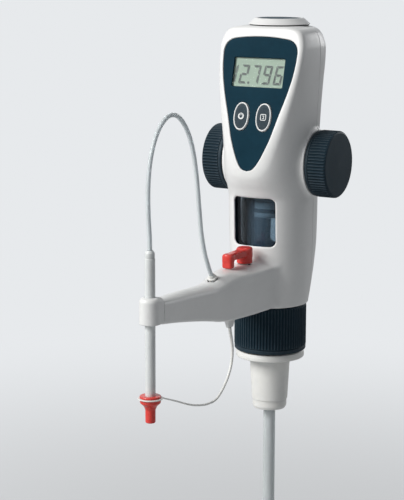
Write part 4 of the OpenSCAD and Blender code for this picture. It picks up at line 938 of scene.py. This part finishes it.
# each key's rim and inlay as (growth of its oval, height), and its mark as (line, width, top, closed)
RIM = [(1.5, -3.3), (1.5, -2.6), (1.35, -2.5), (0.0, -2.5), (0.0, 0.15), (-0.08, 0.42), (-0.28, 0.61),
       (-0.5, 0.7), (-0.75, 0.7), (-0.92, 0.62), (-1.0, 0.45), (-1.02, 0.30)]
INLAY = [(-1.04, 0.30), (-1.10, 0.38), (-1.4, 0.43), (-2.6, 0.50), (-4.0, 0.53)]
POWER_MARK = [(arc(1.55, 128, 413, 8), 0.5, 0.62, False), (arc(2.05, 0, 360, 9), 0.42, 0.62, True),
              ([(0, 0.45), (0, 1.3), (0, 2.1)], 0.5, 0.63, False)]
CLEAR_MARK = [(round_off([(-2, -2), (2, -2), (2, 2), (-2, 2)], 0.7), 0.5, 0.62, True),
              ([(-0.7, 0.9), (0.5, 0.9), (0.7, 0.6), (0.1, 0.0), (0.7, -0.6), (0.5, -0.9), (-0.7, -0.9)],
               0.42, 0.62, False)]
for u, node, mark in ((-KEY_U, "power_key", POWER_MARK), (KEY_U, "clear_key", CLEAR_MARK)):
    for suffix, profile, mat, slot in (("", RIM, WHITE, "white_shell"), ("_inlay", INLAY, KEYTOP, "dark_grip")):
        part = (*rings([oval(grow) for grow, _ in profile], [h for _, h in profile]), mat)
        piece(node + suffix, [on_face(part, u, KEY_V)], node + "_group")
    lines = [(*strip(line, width, 0.4, top, closed), MARK) for line, width, top, closed in mark]
    piece(node + "_mark", [on_face(part, u, KEY_V) for part in lines], node + "_group")

# ---------------------------------------------------------------- windows, door and top cap


def wall_y(x, z, side, depth):
    """y of the housing's surface at x and z, in by depth."""
    near, far = np.zeros(x.shape), np.full(x.shape, 60.0)
    for _ in range(26):
        mid = (near + far) / 2
        out = smax(column(x, side * mid, z, depth), off_face(side * mid, z) + depth, 0.5) > 0
        far, near = np.where(out, mid, far), np.where(out, near, mid)
    return side * near


def curved_pane(name, low, high, side):
    n, m = 37, 25
    x, z = [g.ravel() for g in np.meshgrid(np.linspace(-18.0, 18.0, n), np.linspace(low - 1.9, high + 1.9, m))]
    faces = [np.column_stack([x, wall_y(x, z, side, WALL + depth), z]) for depth in (0.1, 1.7)]
    outer = walls(m, n, closed=False)
    rim = np.concatenate([np.arange(n), np.arange(2 * n - 1, m * n, n),
                          np.arange(m * n - 2, (m - 1) * n - 1, -1), np.arange((m - 2) * n, 0, -n)])
    after = np.roll(rim, -1)
    f = np.concatenate([outer, n * m + outer[:, ::-1], np.stack([n * m + rim, n * m + after, after, rim], 1)])
    piece(name, [(np.concatenate(faces), f[:, ::-side], PANE)])


curved_pane("front_window", WIN_Z, WIN_Z + WIN_H, -1)
curved_pane("rear_window", REAR_Z, REAR_Z + REAR_H, 1)


def door_field(p):
    x, _, z = p.T
    skin = column(*p.T, 0.0)
    d = smax(smax(skin + 0.12, -(skin + 2.0), 0.4),
             box2(x, z - DOOR_Z - DOOR_H / 2, DOOR_W - 0.5, DOOR_H - 0.5, 2.3), 0.6)
    for height in DOOR_Z + 34 + 1.9 * np.arange(5):
        m = np.abs(z - height) < 3
        groove = np.maximum(np.abs(z[m] - height) - 0.4, np.abs(x[m]) - 7)
        d[m] = smax(d[m], -np.maximum(groove, -(skin[m] + 0.7)), 0.6)
    return np.maximum(d, 20 - p[:, 1])


field_piece("battery_door", door_field, (-13.5, 28, 179), (13.5, 37, 225), 0.5, WHITE, 0.5)

CAP_AT = (0, CAP_Y, TOP_Z)
cap = [(0, 3.4, 0), (15.75, 3.4, 0.2), (15.75, 5, 0.25), (17.35, 5, 0.6), (21.75, 1.1, 0.3), (21.75, 0.8, 0.1),
       (20.6, 0.8, 0), (8, 0.8, 0), (8, -3.9, 0.3), (6, -3.9, 0.3), (6, 2, 0.3), (0, 2, 0)]
# A dark ring in the gap under the cap's edge: painted shade for the shadow line there.
dark_gap_ring = [(8.2, 0.05, 0), (21.1, 0.05, 0.2), (21.1, 0.8, 0), (8.2, 0.8, 0)]
piece("top_cap", [turned(cap, 160, WHITE, CAP_AT, steps=5), turned(dark_gap_ring, 128, RUBBER, CAP_AT, steps=3)])
disc = [(0, 3.45, 0), (15.55, 3.45, 0), (15.55, 4.62, 0.3), (14.9, 4.75, 0.3), (10, 4.88, 0), (0, 4.95, 0)]
piece("top_cap_inlay", [turned(disc, 160, FACE, (0, CAP_Y, TOP_Z + 0.1))])

# ---------------------------------------------------------------- wheels and collar


def ribbed(count, depth, low, high, fade, base):
    """Rounded ribs round a turned part, which fade out at both ends."""
    def shape(r, z, a):
        wave = np.tanh(2.0 * np.cos(count * a)) / math.tanh(2.0)
        mask = np.clip((z - low) / fade, 0, 1) * np.clip((high - z) / fade, 0, 1)
        outer = np.clip((r - base + 1.6) / 0.8, 0, 1)
        return r - depth * (0.5 - 0.5 * wave) * mask * outer
    return shape


RIB_SIDES = 10
WHEEL = [(3.05, 0.4, 0.2), (6.3, 0.4, 0.3), (6.3, 12.6, 1), (20.3, 12.6, 1), (20.3, 0, 0.3), (23.35, 0, 0.5),
         (23.5, 1.9, 0.15), (23.1, 2.1, 0), (23.1, 2.4, 0), (WHEEL_R, 2.6, 0.15), (WHEEL_R, 14.6, 0.9),
         (22.3, 15.75, 1.6), (0.01, 15.98, 0), (0.01, 14.2, 0), (3.05, 14.2, 0)]
for side, node in ((1, "handwheel_right"), (-1, "handwheel_left")):
    wheel = turned(WHEEL, RIBS * RIB_SIDES, GRIP, (side * WHEEL_X, SHAFT_Y, SHAFT_Z),
                   [(0, 0, side), (0, 1, 0), (-side, 0, 0)], longest=3.0,
                   shape=ribbed(RIBS, 0.85, 2.45, 15.1, 0.5, WHEEL_R))
    piece(node, [wheel], "wheels")

COLLAR_R, COLLAR_RIBS = 26.0, 72
COLLAR = [(22.7, 6, 0.3), (25.75, 6, 0.5), (25.85, 8.7, 0.2), (25.2, 8.8, 0), (25.2, 9.3, 0),
          (COLLAR_R, 9.5, 0.2), (COLLAR_R, 38.2, 0.8), (24.7, 39.4, 0.6), (20.08, 39.4, 0.2),
          (20.08, 27.8, 0.2), (22.7, 27.8, 0.4)]
piece("collar", [turned(COLLAR, COLLAR_RIBS * RIB_SIDES, GRIP, longest=3.0,
                        shape=ribbed(COLLAR_RIBS, 0.8, 9.4, 38.8, 0.5, COLLAR_R))], "collar_group")

ALONG_Y = [(1, 0, 0), (0, 0, 1), (0, -1, 0)]      # lays a part's z along y
SCREW = [(0.9, -9.5, 0), (1.25, -9.5, 0.2), (1.25, 0, 0), (2.75, 0, 0.2), (2.75, 1.5, 0.5), (2.1, 2.1, 0.3),
         (1.55, 2.1, 0.15), (1.2, 0.9, 0.1), (0, 0.9, 0), (0, -9.5, 0)]


def star(r, z, a):
    """Gives the hole in a screw's head its six lobes."""
    return r + np.where((z > 0.85) & (r < 1.7), 0.18 * np.cos(6 * a) * (r > 0.5), 0)


piece("housing_screws", [turned(SCREW, 48, STEEL, (side * screw_x, floor_y + 0.05, screw_z), ALONG_Y, 3,
                                shape=star) for side in (-1, 1) for screw_x, screw_z, floor_y in SCREWS])

# ---------------------------------------------------------------- valve knob, hose port and tube holder


def knob_field(p):
    x, y, z = (p - (0, KNOB_Y, KNOB_Z)).T
    r = np.hypot(x, y)
    hub = smax(smax(r - 5.5, z - 11, 1.8), -z, 0.6)
    along = np.clip(-y / 23.6, 0, 1)
    bar = smax(np.hypot(x, y + 23.6 * along) - 4.6 + 1.3 * along, np.abs(z - 7.5) - 2.5, 1.8)
    pad = smax(box2(x, y + 23.7, 7.8, 5.6, 1.9), np.abs(z - 4.7) - 4.7, 1.8)
    d = smin(smin(hub, bar, 2.0), pad, 1.6)
    return smax(d, -np.maximum(r - 2.65, z - 7.1), 0.4)


field_piece("valve_knob", knob_field, (-6, -68, 75), (6, -34, 87), 0.3, RED, 0.5, "valve_group")


def holder_field(p):
    x, y, z = (p - (0, TUBE_Y, 0)).T
    r, over = np.hypot(x, y), z - 74.5
    d = smax(np.where(y < 0, r, np.abs(x)) - TIP_W, y - 6.2, 0.8)
    d = smax(d, (d + over + 1.9) / math.sqrt(2), 1.0)
    d = smax(smax(d, over, 0.9), 57 - z, 0.9)
    return smax(d, TUBE_R + 0.06 - r, 0.5)


field_piece("tube_holder", holder_field, (-7.5, -174, 56.5), (7.5, -160, 75), 0.35, WHITE, 0.4,
            "arm_extension")

port_axes = np.array([(1, 0, 0), np.cross(PORT_DIR, (1, 0, 0)), PORT_DIR]).T
port = [(0.72, -6, 0), (2.6, -6, 0.3), (2.6, -0.9, 0), (3.25, -0.9, 0.3), (3.25, 0.9, 0.5), (2.5, 1, 0.3),
        (1.95, 2.75, 0.2), (0.72, 2.75, 0)]
piece("hose_port", [turned(port, 48, PTFE, (0, -86, 72.5), port_axes)])

# ---------------------------------------------------------------- hose and tether


def cord_piece(name, line, radii, mat, first, last, bore=0.0):
    """A cord along a line, its ends square to first and last, its place baked into its points and kept on no
    body.
    """
    radius = np.interp(np.arange(len(line)), [0, len(line) - 1], radii)
    o = piece(name, [(*tube(line, radius, bore, first, last), mat)], None)
    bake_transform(o)


BACK_Y, DOWN, RISING = (0, -1, 0), (0, 0, -1), (0, -14, 5)
cord_piece("hose_up", route(HOSE_UP, (-86.0, 72.49), (-145, 187)), (1.5, 1.5), HOSE,
           PORT_DIR, BACK_Y, 0.8)
cord_piece("hose_down", route(HOSE_DOWN, (-132.6, 186.8), (-166.5, 101)), (1.5, 1.5), HOSE,
           BACK_Y, DOWN, 0.8)
cord_piece("tether_hang", route(TETHER_HANG, (-61, 37), (-91, -14.4)), (1.2, 0.8), PTFE,
           DOWN, BACK_Y)
cord_piece("tether_span", route(TETHER_SPAN, (-79.6, -13.8), (-126, -5.1)), (0.8, 0.65), PTFE,
           BACK_Y, RISING)
cord_piece("tether_rise", route(TETHER_RISE, (-115, -9.2), (-160, 9.5)), (0.65, 0.45), PTFE,
           RISING, BACK_Y)

# ---------------------------------------------------------------- titrating tube, nozzle and closure cap


def turned_piece(name, corners, sides, mat, body="burette_body", at=(0, 0, 0)):
    piece(name, [turned(corners, sides, mat, at, longest=4.0)], body)


def sleeve(inner, outer, low, high, rounding):
    return [(inner, low, rounding), (outer, low, rounding), (outer, high, rounding), (inner, high, rounding)]


TOP = TUBE_LEN
turned_piece("titrating_tube", [
    (2.3, 0, 0.1), (TUBE_R, 0, 0.4), (TUBE_R, TOP - 5.2, 0.1), (TUBE_R - 0.25, TOP - 5.0, 0.1),
    (TUBE_R - 0.25, TOP - 1.6, 0.6), (TUBE_R - 1.3, TOP, 0.5), (1.55, TOP, 0.2), (1.55, TOP - 5, 0.2),
    (2.3, TOP - 8, 0.2)], 64, TUBE, "tube_group", (0, TUBE_Y, TUBE_Z))
turned_piece("nozzle_tip", [
    (0.6, -13, 0), (1.0, -13, 0.2), (2.55, -7, 0.5), (2.6, -0.05, 0.1), (2.25, 0, 0), (2.25, 5, 0.2),
    (0.6, 5, 0)], 48, PTFE, "tube_group", (0, TUBE_Y, TUBE_Z))
AT_CAP = (0, TUBE_Y, CAP_Z)
turned_piece("closure_cap", [
    (0, 0, 0), (2.9, 0, 0.3), (3.3, 0.6, 0.3), (3.35, 8.6, 0.9), (4.4, 11.2, 1.6), (6.7, 13.3, 0.9),
    (6.9, 15.65, 0.2), (6.45, 15.7, 0), (6.45, 16.65, 0), (6.9, 16.7, 0.2), (6.9, 18, 0.5), (3.52, 18, 0.3),
    (3.52, 17, 0), (2.7, 17, 0.2), (2.7, 3.6, 0.3), (0, 3.6, 0)], 96, RED, "cap_group", AT_CAP)
RING_LOW, RING_HIGH = 15.78, 16.6
lug = prism(round_off([(-0.8, 7.2, 0.2), (0.8, 7.2, 0.2), (0.65, 9.3, 0.4), (-0.65, 9.3, 0.4)], steps=3),
            RING_LOW, RING_HIGH, 0.2)
piece("tether_ring", [turned(sleeve(6.55, 8.2, RING_LOW, RING_HIGH, 0.35), 96, PTFE, AT_CAP),
                      moved((*lug, PTFE), shift=AT_CAP)], "cap_group")

# ---------------------------------------------------------------- bottle end

CONE_END = 29.2 / 2 - 32 / 20
teeth = [(r, 9 + 3.4 * k + up, 0.3)
         for k in range(3) for r, up in ((21.3, 0), (22.3, 1), (22.3, 1.8), (21.3, 2.8))]
turned_piece("bottle_adapter", [
    (10.7, -39, 0.3), (CONE_END - 1.6, -39, 0.4), (CONE_END - 0.6, -37, 0.4), (CONE_END - 0.6, -32, 0.2),
    (CONE_END, -32, 0.3), (14.62, -0.05, 0), (14.62, 0, 0), (24.7, 0, 0.8), (24.75, 2.4, 0.9), (24.1, 5, 0.9),
    (21.3, 5, 0.5), *teeth, (21.3, 20, 0.4), (10.7, 20, 0.3)], 128, PTFE)
turned_piece("filling_valve", [
    (1.5, -1, 0.2), (2.6, -1, 0.4), (2.6, 7, 0.2), (4, 7, 0.4), (7, 9, 0.6), (7, 21, 0.5), (5, 21, 0),
    (5, 29.5, 0.3), (1.5, 29.5, 0)], 72, PTFE)
turned_piece("upper_filling_tube", sleeve(2.65, 3.2, -185, 6.9, 0.15), 48, FEP)
turned_piece("recirculation_tube", sleeve(0.9, 1.5, -30, 24.8, 0.12), 32, FEP, at=(0, 9, 0))

LOWER_TOP, LOWER_LEN, LOWER_R, CUT_REACH = -41.0, 154.0, 4.3, 9
foot = LOWER_TOP - LOWER_LEN
p, f, _ = turned([(2.3, foot, 0.1), (LOWER_R, foot, 0.3), (LOWER_R, LOWER_TOP, 0.4), (3.25, LOWER_TOP, 0.1),
                  (3.25, foot + 6, 0), (2.3, foot + 6, 0.1)], 56, FEP, steps=3, longest=4.0)
up = p[:, 2] - foot
slant = 2.6 + 2.5 * p[:, 1] / LOWER_R      # how far the slanting cut raises the foot
p[:, 2] = foot + np.where(up < CUT_REACH, up * (CUT_REACH - slant) / CUT_REACH + slant, up)
piece("lower_filling_tube", [(p, f, FEP)], "filling_tube_group")
vent = [(0, 23.65, 0), (4, 23.65, 0.2), (4, 31.1, 0), (5.2, 31.1, 0.2), (5.2, 32.5, 0.4), (4.4, 33.3, 0.5),
        (0, 33.3, 0)]
piece("vent_plug", [turned(vent, 64, WHITE, (0, 0, 50), ALONG_Y)])

# ---------------------------------------------------------------- cylinder and piston, seen through the windows

AT_PISTON = (0, 0, 57 + 62 * (1 - 0.256))
turned_piece("glass_cylinder", sleeve(16.0, 18.5, GLASS_Z, 130.5, 0.5), 128, GLASS)
turned_piece("piston", [
    (0, 0, 0), (14.6, 0, 0.6), (15.9, 1.5, 0.3), (15.9, 3.5, 0.2), (13.6, 3.5, 0), (13.6, 6.5, 0),
    (15.9, 6.5, 0.2), (15.9, 11, 0.6), (5.3, 11, 0.3), (5.3, 7, 0.3), (0, 7, 0)],
    96, PTFE, "piston_group", AT_PISTON)
turned_piece("piston_seal", [(13.7, 3.6, 0.2), (15.97, 3.6, 0.5), (15.97, 6.4, 0.5), (13.7, 6.4, 0.2)],
             96, RUBBER, "piston_group", AT_PISTON)

for node, mat in NODE_MATERIAL.items():
    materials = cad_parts[node].data.materials
    materials.clear()
    materials.append(mat)

# ---------------------------------------------------------------- floor, light and background

scene = bpy.context.scene
scene.view_settings.view_transform = "Standard"
BACK = (0.80, 0.82, 0.84)


def floor_material():
    """Grey, which fades with distance into the background's own colour."""
    m = bpy.data.materials.new("floor")
    tree = Tree(m)
    grey = tree.nodes["Principled BSDF"]
    tree.put(grey.inputs["Base Color"], (0.55, 0.56, 0.57))
    tree.put(grey.inputs["Roughness"], 0.8)
    glow = tree.add("Emission", {"Color": BACK}).outputs[0]
    place = tree.add("TexCoord").outputs["Object"]
    far = tree.add("VectorMath", {0: place}, operation="LENGTH").outputs["Value"]
    fade = tree.add("MapRange", {"Value": far, "From Min": 0.1, "From Max": 0.9, "To Min": 0.35, "To Max": 1.0},
                    interpolation_type="SMOOTHSTEP").outputs[0]
    amount = tree.maths("MULTIPLY", tree.rays("Camera", "Transmission"), fade)
    tree.show(tree.shaders(amount, grey.outputs[0], glow))
    return m


mesh = bpy.data.meshes.new("floor")
angles = 2 * pi * np.arange(96) / 96
mesh.from_pydata([(20 * cos(a), 20 * sin(a), 0) for a in angles], [], [list(range(96))])
mesh.materials.append(floor_material())
floor = bpy.data.objects.new("floor", mesh)
floor.location = (0, -0.04, -195.4 * MM)
scene.collection.objects.link(floor)

world = bpy.data.worlds.new("studio")
scene.world = world
sky = Tree(world)
soft = sky.nodes["Background"]
sky.put(soft.inputs["Color"], (0.93, 0.96, 1.0))
sky.put(soft.inputs["Strength"], 0.17)
plain = sky.add("Background", {"Color": BACK, "Strength": 1.0}).outputs[0]
sky.show(sky.shaders(sky.rays("Camera", "Glossy", "Transmission"), soft.outputs[0], plain), "World Output")


def lamp(name, direction, distance, size, strength, colour=(1, 1, 1)):
    """A square soft lamp that faces the middle of the object; strength is its share of a full white light."""
    d = Vector(direction).normalized()
    light = bpy.data.lights.new(name, "AREA")
    light.size = size
    light.color = colour
    light.energy = strength * pi * pi * distance ** 2
    o = bpy.data.objects.new(name, light)
    scene.collection.objects.link(o)
    o.location = Vector((0, -0.05, 0.08)) + d * distance
    o.rotation_euler = d.to_track_quat("Z", "Y").to_euler()


lamp("key", (-0.47, -0.68, 0.57), 2.2, 1.1, 1.06, (1.0, 0.99, 0.97))
lamp("rim", (0.25, 0.94, 0.22), 2.4, 0.7, 0.16)
